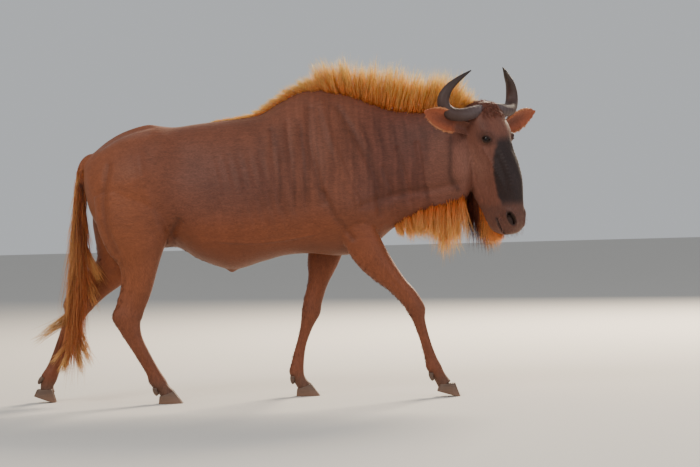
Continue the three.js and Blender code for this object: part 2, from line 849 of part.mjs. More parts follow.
// Locks on the middle of the trunk's top or underside, in three rows.
function trunkLocks(shape, upper, locks) {
  const random = seeded(locks.seed);
  const first = shape[0][0];
  const last = shape[shape.length - 1][0];
  const away = upper ? 1 : -1;
  const pieces = [];
  for (let k = 0; k < locks.count; k += 1) {
    const x = mix(first, last, k / (locks.count - 1));
    const row = ((2 * k) % 3) - 1;
    const [, length, lean] = rowAt(shape, x);
    const angle = degrees(lean + LOCK.leanSpread * (2 * random() - 1));
    const reach = length * mix(LOCK.shortest, 1, random());
    const root = trunkEdge(x, upper);
    root.y += row * locks.side;
    root.z -= away * RIDGE.sunk;
    const tip = root.clone();
    tip.x += Math.sin(angle) * reach;
    tip.y += row * locks.flare * reach;
    tip.z += away * (Math.cos(angle) * reach + RIDGE.sunk);
    pieces.push(looseLock(root, tip, V(0, 1, 0), locks.halfWidth, random));
  }
  return pieces;
}

// Locks of the jaw, from the chin back to the cheek.
function jawLocks() {
  const random = seeded(JAW_LOCKS.seed);
  const first = JAW_SHAPE[0][0];
  const last = JAW_SHAPE[JAW_SHAPE.length - 1][0];
  const sections = [...HEAD_SECTIONS].reverse();
  const pieces = [];
  for (let k = 0; k < JAW_LOCKS.count; k += 1) {
    const u = mix(first, last, k / (JAW_LOCKS.count - 1));
    const row = ((2 * k) % 3) - 1;
    const [, length, lean] = rowAt(JAW_SHAPE, u);
    const back = rowAt(sections, u)[2];
    const reach = length * mix(LOCK.shortest, 1, random());
    const swing = (Math.sin(degrees(lean)) - JAW_RIDGE.swing) * reach;
    const root = headPoint(V(row * JAW_LOCKS.side, back + RIDGE.sunk, u + 10));
    const side = row * (JAW_LOCKS.side + JAW_LOCKS.flare * reach);
    const tip = headPoint(V(side, back + swing, u - JAW_RIDGE.drop * reach));
    pieces.push(looseLock(root, tip, HEAD_AXES[0], JAW_LOCKS.halfWidth, random));
  }
  return pieces;
}

// Hair on the middle of the trunk's top or underside, under its locks.
function trunkRidge(shape, upper) {
  const first = shape[0][0];
  const last = shape[shape.length - 1][0];
  const away = upper ? 1 : -1;
  const feet = [];
  const tips = [];
  for (let k = 0; k <= RIDGE.rings; k += 1) {
    const x = mix(first, last, k / RIDGE.rings);
    const [, height, lean] = rowAt(shape, x);
    const foot = trunkEdge(x, upper);
    foot.z -= away * RIDGE.sunk;
    const tip = foot.clone();
    tip.x += Math.sin(degrees(lean)) * height * CORE_SHARE;
    tip.z += away * (Math.cos(degrees(lean)) * height * CORE_SHARE + RIDGE.sunk);
    feet.push(foot);
    tips.push(tip);
  }
  return ridge(feet, tips, V(0, 1, 0), RIDGE.footHalfWidth);
}

// Hair that hangs from the jaw, from the chin back to the cheek.
function jawRidge() {
  const feet = [];
  const tips = [];
  const sections = [...HEAD_SECTIONS].reverse();
  const first = JAW_SHAPE[0][0];
  const last = JAW_SHAPE[JAW_SHAPE.length - 1][0];
  for (let k = 0; k <= JAW_RIDGE.rings; k += 1) {
    const u = mix(first, last, k / JAW_RIDGE.rings);
    const [, length, lean] = rowAt(JAW_SHAPE, u);
    const back = rowAt(sections, u)[2];
    const swing = (Math.sin(degrees(lean)) - JAW_RIDGE.swing) * length * CORE_SHARE;
    feet.push(headPoint(V(0, back + RIDGE.sunk, u + 10)));
    tips.push(headPoint(V(0, back + swing, u - JAW_RIDGE.drop * length * CORE_SHARE)));
  }
  return ridge(feet, tips, HEAD_AXES[0], JAW_RIDGE.footHalfWidth);
}

// The dock of the tail and the core of its tuft.
function tailCore() {
  const stations = TAIL.slice(0, TAIL_CORE.rows).map(([x, z, halfDepth, halfWidth]) => {
    const share = z > TUFT_TOP ? 1 : TAIL_CORE.share;
    return [x, 0, z, halfDepth * share, halfWidth * share];
  });
  return tube(stations, TAIL_RINGS, TAIL_SIDES, V(0, 1, 0));
}

// Locks all round the tail, and loose ones to the outer tips.
function tailLocks() {
  const random = seeded(TAIL_LOCKS.seed);
  const pieces = [];
  for (let k = 0; k < TAIL_LOCKS.count; k += 1) {
    const angle = degrees(137.5 * k);
    const share = mix(TAIL_LOCKS.from, TAIL_LOCKS.to, k / (TAIL_LOCKS.count - 1));
    const [x, z, halfDepth, halfWidth] = smoothRow(TAIL, share);
    const root = V(x + Math.cos(angle) * halfDepth * 0.3, Math.sin(angle) * halfWidth * 0.3, z);
    const tipShare = Math.min(share + TAIL_LOCKS.reach * mix(LOCK.shortest, 1, random()), 0.99);
    const [tipX, tipZ, tipDepth, tipWidth] = smoothRow(TAIL, tipShare);
    const tip = V(tipX + Math.cos(angle) * tipDepth, Math.sin(angle) * tipWidth, tipZ);
    const sideways = V(Math.cos(angle), Math.sin(angle), 0);
    pieces.push(looseLock(root, tip, sideways, TAIL_LOCKS.halfWidth, random));
  }
  for (const [x, z, y] of TAIL_WISPS) {
    const rootZ = z + WISP.rise;
    const rootX = mix(rowAt(TAIL_BY_HEIGHT, rootZ)[1], x, 0.15);
    pieces.push(looseLock(V(rootX, y * 0.5, rootZ), V(x, y, z), V(0, 1, 0), WISP.halfWidth, random));
  }
  return pieces;
}

// Names a finished body and gives it its own material.
const wildebeest = new THREE.Group();
wildebeest.name = "wildebeest";

function addNode(name, solid, look) {
  const data = largest(solid).translate(-ORIGIN.x, -ORIGIN.y, -ORIGIN.z).getMesh();
  const geometry = new THREE.BufferGeometry();
  geometry.setAttribute("position", new THREE.BufferAttribute(Float32Array.from(data.vertProperties), 3));
  geometry.setIndex(new THREE.BufferAttribute(Uint32Array.from(data.triVerts), 1));
  geometry.computeVertexNormals();
  const mesh = new THREE.Mesh(geometry, new THREE.MeshStandardMaterial(look));
  mesh.name = name;
  wildebeest.add(mesh);
}

// Flesh.
const trunkSpace = trunk(GAP);
const headSpace = joined([skull(GAP), eyeBall(RIGHT, EYE.lid + GAP), eyeBall(LEFT, EYE.lid + GAP)]);
const body = joined([trunk(0), ...Object.values(LEGS).map(wholeLeg)]);
const legSpaces = joined(Object.values(LEGS).map(legSpace));
const cut = neckCut();
const behindCut = halfSpace(NECK_CUT_TOP.clone().addScaledVector(cut, -GAP), cut.clone().negate());
const aheadOfCut = halfSpace(NECK_CUT_TOP, cut);
addNode("torso", body.intersect(behindCut).subtract(legSpaces), COAT);
addNode("neck", body.intersect(aheadOfCut).subtract(legSpaces).subtract(headSpace), COAT);
addNode("head", wholeHead(), COAT);

for (const [name, leg] of Object.entries(LEGS)) {
  const below = halfSpace(V(0, 0, leg.topLevel - GAP), V(0, 0, -1));
  const whole = body.intersect(legSpace(leg)).intersect(below);
  const joint = jointAt(leg, leg.middleJoint);
  const down = jointAt(leg, leg.middleJoint + 1).sub(jointAt(leg, leg.middleJoint - 1)).normalize();
  const coronet = coronetPlane(leg);
  const aboveHoof = halfSpace(coronet.at.addScaledVector(coronet.normal, GAP), coronet.normal);
  const belowJoint = halfSpace(joint.clone().addScaledVector(down, GAP), down);
  const shank = whole.intersect(belowJoint).intersect(aboveHoof);
  addNode(`${name}_upper`, whole.intersect(halfSpace(joint, down.clone().negate())), COAT);
  addNode(`${name}_lower`, shank, COAT);
  for (const [side, sideways] of Object.entries(SIDES)) {
    addNode(`${name}_claw_${side}`, claw(leg, sideways), HOOF_WALL);
    addNode(`${name}_dewclaw_${side}`, dewclaw(leg, sideways).subtract(shank), HOOF_WALL);
  }
}

// Head parts.
let hairless = headSpace;
for (const [side, sideways] of Object.entries(SIDES)) {
  const hornSolid = horn(sideways).subtract(headSpace);
  const earSolid = ear(sideways, EARS[side]).subtract(headSpace).subtract(hornSolid);
  hairless = hairless.add(hornSolid).add(earSolid);
  addNode(`eye_${side}`, eyeBall(sideways, 0), EYE_SURFACE);
  addNode(`horn_${side}`, hornSolid, HORN_SHEATH);
  addNode(`ear_${side}`, earSolid, COAT);
}

// Hair: a low ridge under the locks of each place.
function haired(core, locks, ...spaces) {
  return spaces.reduce((hair, space) => hair.subtract(space), joined([core, ...locks]));
}
const fleshSpace = trunkSpace.add(hairless);
const mane = haired(trunkRidge(MANE_SHAPE, true), trunkLocks(MANE_SHAPE, true, MANE_LOCKS), fleshSpace);
const withersLocks = trunkLocks(WITHERS_SHAPE, true, WITHERS_LOCKS);
const throatLocks = trunkLocks(THROAT_SHAPE, false, THROAT_LOCKS);
const throat = haired(trunkRidge(THROAT_SHAPE, false), throatLocks, fleshSpace);
addNode("mane_neck", mane, HAIR);
addNode("mane_withers", haired(trunkRidge(WITHERS_SHAPE, true), withersLocks, fleshSpace, mane), HAIR);
addNode("beard_throat", throat, HAIR);
addNode("beard_chin", haired(jawRidge(), jawLocks(), fleshSpace, throat), HAIR);

// Tail.
const tail = tailCore();
const aboveTuft = halfSpace(V(0, 0, TUFT_TOP), V(0, 0, 1));
const inTuft = halfSpace(V(0, 0, TUFT_TOP - GAP), V(0, 0, -1));
addNode("tail_dock", tail.intersect(aboveTuft).subtract(trunkSpace), COAT);
addNode("tail_tuft", joined([tail, ...tailLocks()]).intersect(inTuft).subtract(trunkSpace), TAIL_HAIR);

export default wildebeest;
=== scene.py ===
import math

import bmesh
import bpy
import numpy as np
from mathutils import Matrix, Vector
from mathutils.kdtree import KDTree


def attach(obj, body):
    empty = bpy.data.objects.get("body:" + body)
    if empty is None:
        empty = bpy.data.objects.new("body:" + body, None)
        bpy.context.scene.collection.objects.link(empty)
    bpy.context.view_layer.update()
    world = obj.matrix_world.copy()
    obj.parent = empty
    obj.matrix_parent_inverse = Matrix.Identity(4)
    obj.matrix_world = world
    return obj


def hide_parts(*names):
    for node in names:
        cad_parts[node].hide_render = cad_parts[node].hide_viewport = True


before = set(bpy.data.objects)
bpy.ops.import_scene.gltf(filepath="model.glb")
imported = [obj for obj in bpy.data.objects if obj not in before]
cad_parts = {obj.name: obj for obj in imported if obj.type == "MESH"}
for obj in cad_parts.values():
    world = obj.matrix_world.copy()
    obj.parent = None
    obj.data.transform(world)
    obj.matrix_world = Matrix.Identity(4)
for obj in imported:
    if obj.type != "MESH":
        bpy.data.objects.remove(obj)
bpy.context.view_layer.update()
MM = 0.001
# The part's origin in the animal's own frame, and the signs of its right and left side.
ORIGIN = np.array([-298.0, -66.0, 0.0])
RIGHT, LEFT = -1, 1

# Trunk, from the rump to the nape: x, top, bottom, half width, sideways shift,
# height share of the widest level, and the roundness of the upper and lower half.
TRUNK = [
    (-1158, 1060, 930, 34, 0, 0.5, 2.0, 2.0),
    (-1132, 1086, 830, 92, 0, 0.5, 1.9, 2.0),
    (-1075, 1128, 735, 140, 0, 0.52, 1.9, 2.1),
    (-985, 1180, 680, 172, 0, 0.55, 1.8, 2.2),
    (-870, 1212, 668, 188, 0, 0.56, 1.8, 2.2),
    (-760, 1203, 676, 188, 0, 0.52, 1.9, 2.2),
    (-660, 1214, 619, 203, 0, 0.46, 2.0, 2.2),
    (-520, 1229, 573, 219, 0, 0.44, 2.0, 2.1),
    (-390, 1246, 603, 220, 0, 0.44, 1.9, 2.1),
    (-285, 1302, 629, 212, 0, 0.42, 1.75, 2.1),
    (-175, 1351, 634, 202, 0, 0.4, 1.6, 2.1),
    (-60, 1339, 622, 196, 0, 0.4, 1.6, 2.1),
    (30, 1315, 632, 178, -2, 0.42, 1.65, 2.1),
    (115, 1281, 674, 150, -8, 0.43, 1.75, 2.1),
    (190, 1254, 735, 124, -22, 0.44, 1.85, 2.0),
    (270, 1243, 776, 106, -44, 0.45, 1.9, 2.0),
    (350, 1238, 808, 96, -70, 0.46, 2.0, 2.0),
    (430, 1240, 824, 90, -94, 0.48, 2.0, 2.0),
    (500, 1216, 850, 78, -114, 0.5, 2.0, 2.0),
    (548, 1150, 930, 46, -126, 0.5, 2.0, 2.0),
]
# Swellings and hollows of the trunk's sides: x, z, reach along x, reach along z, height.
MUSCLES = {
    "haunch": (-975, 930, 130, 170, 16),
    "hip_bone": (-800, 1150, 46, 40, 15),
    "flank_hollow": (-705, 1060, 80, 90, -15),
    "rear_ribs": (-480, 860, 120, 150, 5),
    "shoulder_blade": (-75, 1060, 60, 170, 15),
    "upper_arm": (-15, 830, 95, 90, 20),
    "shoulder_point": (75, 800, 60, 80, 14),
    "girth_hollow": (-185, 790, 60, 120, -9),
    "neck_groove": (210, 880, 120, 40, -9),
}

# Half depth and half width of the legs at each joint, from the top down.
FORE_GIRTHS = [
    (80, 48), (72, 50), (45, 38), (41, 34), (38, 35), (26, 25), (22, 20), (26, 22), (31, 28),
    (27, 25), (31, 30),
]
HIND_GIRTHS = [
    (150, 70), (160, 84), (134, 78), (86, 58), (67, 43), (62, 35), (61, 37), (48, 32), (36, 27),
    (31, 24), (29, 24), (34, 30), (29, 27), (32, 31),
]
# Each leg's joints from the top down as x, z, and its distance from the middle, toe and pitch of the foot.
LEGS = {
    "right_fore": {
        "girths": FORE_GIRTHS, "side": RIGHT, "apart": 117, "toe": 464, "pitch": 16,
        "path": [
            (15, 760), (92, 616), (190, 501), (250, 433), (276, 385), (292, 327), (317, 238),
            (337, 168), (353, 124), (373, 88), (396, 50),
        ],
    },
    "left_fore": {
        "girths": FORE_GIRTHS, "side": LEFT, "apart": 115, "toe": -150, "pitch": 0,
        "path": [
            (-70, 770), (-118, 616), (-147, 505), (-170, 428), (-186, 366), (-206, 300),
            (-227, 234), (-243, 168), (-251, 106), (-238, 70), (-214, 36),
        ],
    },
    "right_hind": {
        "girths": HIND_GIRTHS, "side": RIGHT, "apart": 116, "toe": -744, "pitch": 0,
        "path": [
            (-960, 930), (-940, 800), (-930, 695), (-922, 602), (-936, 500), (-962, 425),
            (-974, 378), (-968, 334), (-948, 280), (-918, 222), (-878, 148), (-849, 92), (-828, 62),
            (-806, 36),
        ],
    },
    "left_hind": {
        "girths": HIND_GIRTHS, "side": LEFT, "apart": 116, "toe": -1318, "pitch": 20,
        "path": [
            (-965, 920), (-980, 800), (-1005, 690), (-1052, 592), (-1120, 525), (-1176, 472),
            (-1208, 434), (-1226, 392), (-1249, 340), (-1281, 264), (-1322, 168), (-1348, 112),
            (-1361, 74), (-1358, 40),
        ],
    },
}
CLAW = {"length": 106, "half_width": 18, "front": 52, "heel": 30, "spread": 19, "slope": 0.72}
CLAW_PARTING = 0.75
CLAW_SIDES = 40
FLAT_LENGTH = 16
DEWCLAW = {"length": 34, "radius": 11, "spread": 19, "below": 8}

# Head frame: r to its right, f the way it faces, u up, from the poll between the horns.
POLL = np.array([606.0, -165.0, 1262.0])
HEAD_TURN = math.radians(48)
HEAD_TILT = math.radians(4)
# u, front, back, half width at the front, half width at the back, roundness.
HEAD_SECTIONS = [
    (14, -4, -46, 34, 34, 2.0), (0, 16, -78, 60, 60, 2.2), (-28, 38, -110, 82, 81, 2.4),
    (-62, 60, -136, 91, 92, 2.5), (-104, 80, -158, 92, 95, 2.6), (-146, 95, -172, 86, 93, 2.6),
    (-195, 112, -180, 75, 87, 2.5), (-250, 138, -178, 67, 79, 2.5), (-310, 154, -160, 61, 70, 2.5),
    (-365, 160, -130, 57, 58, 2.5), (-415, 160, -96, 54, 50, 2.6), (-460, 158, -62, 54, 46, 2.7),
    (-500, 157, -38, 54, 46, 2.7), (-530, 150, -20, 49, 42, 2.5), (-552, 134, 4, 38, 32, 2.3),
    (-563, 110, 34, 20, 18, 2.0),
]
# Swellings of the head: r, f, u, reach, height.
HEAD_FORMS = [
    (80, 64, -114, 26, 8), (92, 16, -140, 26, 4), (80, 30, -205, 34, 5), (76, -70, -240, 60, 7),
    (62, 20, -350, 45, -8), (0, 150, -330, 60, 4), (56, 110, -400, 30, -6), (50, 124, -480, 24, 8),
    (28, 20, -530, 26, 5),
]
EYE = {"at": (68, 54, -146), "radius": 19, "axis": (0.86, 0.5, 0.03), "along": (-0.5, 0.86, -0.28)}
EYE_OPENING = (35, 16)
LID_THICKNESS = 3.5
# Folds round the eye: height, place from the lid's edge, half width, and where they start and end upwards.
EYE_FOLDS = [(-3, -10, 2.6, (-4, 6)), (-2.2, -9, 2.8, (2, -6)), (-2, -17, 3, (2, 14))]
NOSTRIL = {"at": (44, 143, -492), "out": (0.56, 0.83, -0.02), "radii": (15, 27), "depth": 24}
NOSTRIL_LEAN = 0.28
MOUTH = {"corner": (0, 56, -486), "end": (0, 98, -600)}

# Horn: place to the side, forwards and up from the poll, and radius.
HORN_PATH = [
    (12, -18, -22, 27), (46, -6, -24, 28), (92, -6, -30, 28), (140, -18, -34, 28),
    (182, -38, -24, 28.5), (206, -50, 4, 27.5), (209, -50, 42, 25), (191, -38, 80, 20),
    (158, -20, 111, 14), (124, 2, 136, 8), (97, 18, 153, 2.5),
]
HORN_PARTING = 1.5
EARS = {
    RIGHT: {"root": (84, -30, -104), "tip": (336, -42, -3)},
    LEFT: {"root": (84, -30, -122), "tip": (340, -40, -52)},
}
EAR = {"half_width": 48, "cup": 20, "wall": 8}
# Share of the length, share of the half width, share of the cup.
EAR_LEAF = np.array([
    (0, 0.55, 0.9), (0.2, 0.66, 1.15), (0.42, 0.95, 1.1), (0.58, 1.0, 0.95), (0.75, 0.86, 0.7),
    (0.9, 0.5, 0.4), (1, 0.12, 0.1),
])

# Fleshy tail under the hair: x, z, half depth, half width.
DOCK = [
    (-1098, 1060, 36, 32), (-1130, 1062, 32, 28), (-1158, 1038, 26, 22), (-1172, 985, 23, 18),
    (-1180, 915, 21, 16), (-1187, 830, 19, 15), (-1191, 740, 16, 13), (-1190, 660, 11, 9),
    (-1188, 600, 5, 4),
]

# Long hair of the tail, out to its tips: x, z, half depth, half width.
TAIL = [
    (-1098, 1060, 36, 32), (-1130, 1062, 32, 28), (-1158, 1038, 28, 24), (-1172, 985, 26, 21),
    (-1180, 915, 26, 21), (-1187, 830, 32, 25), (-1192, 740, 40, 29), (-1193, 640, 60, 38),
    (-1186, 540, 76, 44), (-1200, 430, 72, 40), (-1222, 310, 62, 32), (-1236, 200, 46, 24),
    (-1240, 130, 16, 12),
]
# Tips of the loose outer locks of the tail: x, z, sideways.
TAIL_WISPS = [
    (-1405, 268, 8), (-1364, 311, -14), (-1341, 177, 12), (-1305, 134, -8), (-1278, 127, 16),
    (-1188, 131, -12), (-1145, 156, 10), (-1087, 515, -6), (-1115, 410, 12),
]

# Hair: x, length from the skin to the tips, lean towards the head in degrees.
MANE_SHAPE = [
    (-190, 50, -58), (-150, 74, -50), (-110, 118, -40), (-60, 158, -26), (0, 168, -12),
    (80, 182, -2), (160, 202, 6), (260, 205, 12), (350, 196, 18), (430, 172, 22), (500, 132, 24),
    (546, 100, 28),
]
WITHERS_SHAPE = [
    (-560, 30, -80), (-400, 48, -74), (-300, 58, -68), (-180, 70, -60),
]
THROAT_SHAPE = [
    (200, 50, 10), (250, 96, 8), (330, 120, 2), (375, 150, 0), (410, 225, -2), (445, 240, -3),
    (496, 190, -4),
]
JAW_SHAPE = [
    (-548, 62, 6), (-510, 124, 2), (-460, 190, 0), (-400, 250, 0), (-340, 296, -2), (-300, 306, -3),
]


def smooth_rows(rows, shares):
    """Rows of a table at shares of its whole length, on a smooth curve through its rows."""
    rows = np.asarray(rows, float)
    place = np.atleast_1d(shares) * (len(rows) - 1)
    i = np.minimum(place.astype(int), len(rows) - 2)
    t = (place - i)[:, None]
    before = rows[np.maximum(i - 1, 0)]
    start = rows[i]
    end = rows[i + 1]
    after = rows[np.minimum(i + 2, len(rows) - 1)]
    slope_in = (end - before) / 2
    slope_out = (after - start) / 2
    rise = end - start
    bend = 3 * rise - 2 * slope_in - slope_out
    twist = slope_in + slope_out - 2 * rise
    return start + slope_in * t + bend * t**2 + twist * t**3


def rows_at(rows, at):
    """Columns of a table at values of its first column, by straight lines between rows."""
    rows = np.asarray(sorted(rows), float)
    return [np.interp(at, rows[:, 0], rows[:, k]) for k in range(rows.shape[1])]


def round_power(value, roundness):
    """Bends a sine or cosine so that a ring grows squarer with its roundness."""
    return np.sign(value) * np.abs(value) ** (2 / roundness)


def ease(low, high, value):
    """From 0 at low to 1 at high, smoothly."""
    t = np.clip((value - low) / (high - low), 0, 1)
    return t * t * (3 - 2 * t)


def bell(value, centre, reach):
    """1 at the centre, falling off smoothly on both sides of it."""
    return np.exp(-(((value - centre) / reach) ** 2))


def unit(vectors):
    vectors = np.asarray(vectors, float)
    return vectors / np.maximum(np.linalg.norm(vectors, axis=-1, keepdims=True), 1e-9)


def measured(points, centre, *ways):
    """How far points lie from a centre along each of the ways."""
    return [(points - centre) @ way for way in ways]


def turn_angles(sides):
    return np.linspace(0, 2 * np.pi, sides, endpoint=False)


def placed(points):
    """Points from millimetres in the animal's frame to metres in the part's frame."""
    return (np.asarray(points) - ORIGIN) * MM


def unplaced(points):
    return np.asarray(points) / MM + ORIGIN


def ring_solid(rings):
    """Points and faces of a closed body through rings of points, as an array of shape (rings, sides, 3)."""
    count, sides = rings.shape[:2]
    index = np.arange(count * sides).reshape(count, sides)
    ahead = np.roll(index, -1, axis=1)
    quads = np.stack([index[:-1], ahead[:-1], ahead[1:], index[1:]], axis=-1).reshape(-1, 4)
    caps = [list(index[0][::-1]), list(index[-1])]
    return rings.reshape(-1, 3), [list(quad) for quad in quads] + caps


def tube_rings(stations, ring_count, sides, side=(0, 1, 0)):
    """Rings of an oval tube along rows of x, y, z and two half sizes."""
    shares = np.linspace(0, 1, ring_count + 1)
    rows = smooth_rows(stations, shares)
    ahead = smooth_rows(stations, np.minimum(shares + 0.02, 1))[:, :3]
    behind = smooth_rows(stations, np.maximum(shares - 0.02, 0))[:, :3]
    along = unit(ahead - behind)
    depth = unit(np.cross(side, along))
    width = unit(np.cross(along, depth))
    angle = turn_angles(sides)[:, None]
    reach = depth[:, None] * np.cos(angle) * rows[:, None, 3:4]
    spread = width[:, None] * np.sin(angle) * rows[:, None, 4:5]
    return rows[:, None, :3] + reach + spread


def muscle_at(x, z):
    total = 0
    for at_x, at_z, reach_x, reach_z, height in MUSCLES.values():
        total = total + height * bell(x, at_x, reach_x) * bell(z, at_z, reach_z)
    return total


def trunk_rings(ring_count, sides):
    rows = smooth_rows(TRUNK, np.linspace(0, 1, ring_count + 1))
    x, top, bottom, half_width, shift, level, round_top, round_bottom = rows.T[:, :, None]
    angle = turn_angles(sides)
    up = np.sin(angle)
    out = np.cos(angle)
    middle = bottom + (top - bottom) * level
    roundness = np.where(up > 0, round_top, round_bottom)
    height = np.where(up > 0, top - middle, middle - bottom)
    z = middle + round_power(up, roundness) * height
    y = shift + round_power(out, roundness) * half_width + muscle_at(x, z) * out
    return np.stack([np.broadcast_to(x, z.shape), y, z], axis=-1)


def trunk_edge(x, upper):
    """Points on the middle of the trunk's top or underside."""
    shares = np.linspace(0, 1, 400)
    along, top, bottom, _, shift = smooth_rows(TRUNK, shares)[:, :5].T
    edge = top if upper else bottom
    return np.stack([x, np.interp(x, along, shift), np.interp(x, along, edge)], axis=-1)


def on_middle(rows):
    """Rows of x, z and half sizes, with a y of 0 between them."""
    return [(x, 0, z, depth, width) for x, z, depth, width in rows]


def joint_at(leg, k):
    return np.array([leg["path"][k][0], leg["side"] * leg["apart"], leg["path"][k][1]], float)


def leg_rings(leg, per_joint, sides):
    stations = [(*joint_at(leg, k), *leg["girths"][k]) for k in range(len(leg["path"]))]
    return tube_rings(stations, (len(stations) - 1) * per_joint, sides)


def head_axes():
    """The head's own right, front and up, as rows."""
    faces = np.array([math.cos(HEAD_TURN), -math.sin(HEAD_TURN), 0])
    right = np.array([-math.sin(HEAD_TURN), -math.cos(HEAD_TURN), 0]) * math.cos(HEAD_TILT)
    right[2] -= math.sin(HEAD_TILT)
    return np.array([right, faces, np.cross(right, faces)])


HEAD_AXES = head_axes()


def head_points(local, side=RIGHT):
    local = np.array(local, float)
    local[..., 0] *= -side
    return POLL + local @ HEAD_AXES


def head_local(points):
    return (points - POLL) @ HEAD_AXES.T


def head_way(local, side=RIGHT):
    return unit(head_points(local, side) - POLL)


def skull_rings(ring_count, sides):
    rows = smooth_rows(HEAD_SECTIONS, np.linspace(0, 1, ring_count + 1))
    u, front, back, half_front, half_back, roundness = rows.T[:, :, None]
    angle = turn_angles(sides)
    ahead = round_power(np.cos(angle), roundness)
    half_width = half_back + (half_front - half_back) * (ahead + 1) / 2
    r = round_power(np.sin(angle), roundness) * half_width
    f = (front + back) / 2 + ahead * (front - back) / 2
    u = np.broadcast_to(u, r.shape)
    push = 0
    for at_r, at_f, at_u, reach, height in HEAD_FORMS:
        distance = np.sqrt((np.abs(r) - at_r) ** 2 + (f - at_f) ** 2 + (u - at_u) ** 2)
        push = push + height * bell(distance, 0, reach)
    local = np.stack([r + push * np.sin(angle), f + push * np.cos(angle), u], axis=-1)
    return head_points(local)


def ball_rings(centre, radius, ring_count, sides):
    rise = ((np.arange(ring_count) + 0.5) / ring_count - 0.5) * np.pi
    angle = turn_angles(sides)
    around = np.stack([np.cos(angle), np.sin(angle), np.zeros(sides)], axis=-1)
    rings = np.cos(rise)[:, None, None] * around[None]
    rings[:, :, 2] += np.sin(rise)[:, None]
    return centre + rings * radius


def ear_axes(side):
    root = head_points(EARS[side]["root"], side)
    along = head_points(EARS[side]["tip"], side) - root
    across = unit(np.cross(along, head_way((0.25, 1, -0.25), side)))
    return root, along, across, unit(np.cross(across, along))


def ear_rings(side, ring_count, across_count):
    root, along, across, deep = ear_axes(side)
    share = np.linspace(0, 1, ring_count + 1)
    place = np.interp(share, EAR_LEAF[:, 0], np.linspace(0, 1, len(EAR_LEAF)))
    _, width, cup = smooth_rows(EAR_LEAF, place).T
    t = np.linspace(-1, 1, across_count + 1)
    outer = np.concatenate([t, t[::-1]])
    inner = np.concatenate([np.zeros_like(t), np.ones_like(t)])
    wall = EAR["wall"] * (1 - 0.3 * share)
    sideways = outer[None] * (EAR["half_width"] * width[:, None] - inner[None] * 1.5)
    depth = EAR["cup"] * cup[:, None] * (outer[None] ** 2 - 1) + (inner[None] - 0.4) * wall[:, None]
    centre = root + share[:, None] * along
    return centre[:, None] + sideways[..., None] * across + depth[..., None] * deep


def ear_place(points, side):
    """Shares of the ear's length and of the way out to its rim, and which points are near its leaf."""
    root, along, across, deep = ear_axes(side)
    far, sideways, depth = measured(points, root, along, across, deep)
    share = far / (along @ along)
    leaf = EAR["half_width"] * np.interp(share, EAR_LEAF[:, 0], EAR_LEAF[:, 1])
    return share, np.abs(sideways) / leaf, np.abs(depth) < 45


def linked(name, data):
    """A new object in the scene."""
    piece = bpy.data.objects.new(name, data)
    bpy.context.scene.collection.objects.link(piece)
    return piece


def new_object(name, points, faces):
    mesh = bpy.data.meshes.new(name)
    mesh.from_pydata([tuple(p) for p in placed(points)], [], faces)
    mesh.update()
    mesh.polygons.foreach_set("use_smooth", [True] * len(mesh.polygons))
    return linked(name, mesh)


def joined_solids(name, solids):
    points = []
    faces = []
    start = 0
    for solid_points, solid_faces in solids:
        points.append(solid_points)
        faces.extend([[i + start for i in face] for face in solid_faces])
        start += len(solid_points)
    return new_object(name, np.concatenate(points), faces)


def outward(piece):
    """Turns every closed shell of a mesh outside out."""
    shape = bmesh.new()
    shape.from_mesh(piece.data)
    bmesh.ops.recalc_face_normals(shape, faces=shape.faces)
    shape.to_mesh(piece.data)
    shape.free()


def apply_modifier(piece, kind, **settings):
    modifier = piece.modifiers.new(kind, kind)
    for key, value in settings.items():
        setattr(modifier, key, value)
    depsgraph = bpy.context.evaluated_depsgraph_get()
    mesh = bpy.data.meshes.new_from_object(piece.evaluated_get(depsgraph))
    piece.modifiers.clear()
    old = piece.data
    piece.data = mesh
    bpy.data.meshes.remove(old)


def read(items, name, width, kind=np.float32):
    """One value of all points, edges or corners of a mesh, with a row for each."""
    values = np.zeros(len(items) * width, kind)
    items.foreach_get(name, values)
    return values.reshape(-1, width)


def points_of(piece):
    return unplaced(read(piece.data.vertices, "co", 3).astype(float))


def set_points(piece, points):
    piece.data.vertices.foreach_set("co", placed(points).astype(np.float32).ravel())
    piece.data.update()


def normals_of(piece):
    return read(piece.data.vertices, "normal", 3).astype(float)


def relax(piece, rounds, weights=None):
    """Evens out the steps of the remesh and keeps the volume, all over or by weights."""
    a, b = read(piece.data.edges, "vertices", 2, np.int32).T
    points = points_of(piece)
    count = np.bincount(a, minlength=len(points)) + np.bincount(b, minlength=len(points))
    count = np.maximum(count, 1)[:, None]
    weight = 1 if weights is None else weights[:, None]
    for _ in range(rounds):
        for share in (0.6, -0.62):
            total = np.zeros_like(points)
            for axis in range(3):
                total[:, axis] = np.bincount(a, points[b, axis], len(points))
                total[:, axis] += np.bincount(b, points[a, axis], len(points))
            points = points + weight * share * (total / count - points)
    set_points(piece, points)


def refine(piece, chosen):
    """Splits the faces whose points are all chosen."""
    shape = bmesh.new()
    shape.from_mesh(piece.data)
    shape.verts.ensure_lookup_table()
    edges = [edge for edge in shape.edges if chosen[edge.verts[0].index] and chosen[edge.verts[1].index]]
    bmesh.ops.subdivide_edges(shape, edges=edges, cuts=1, use_grid_fill=True, smooth=0.0)
    bmesh.ops.triangulate(shape, faces=[face for face in shape.faces if len(face.verts) > 4])
    shape.to_mesh(piece.data)
    shape.free()


# Skin
# Size of the mesh's cells, and the nodes of the solids that the skin takes the place of.
VOXEL = 4.6
SKIN_NODES = ["torso", "neck", "head", "ear_right", "ear_left", "tail_dock"]
SKIN_NODES += [f"{name}_{part}" for name in LEGS for part in ("upper", "lower")]


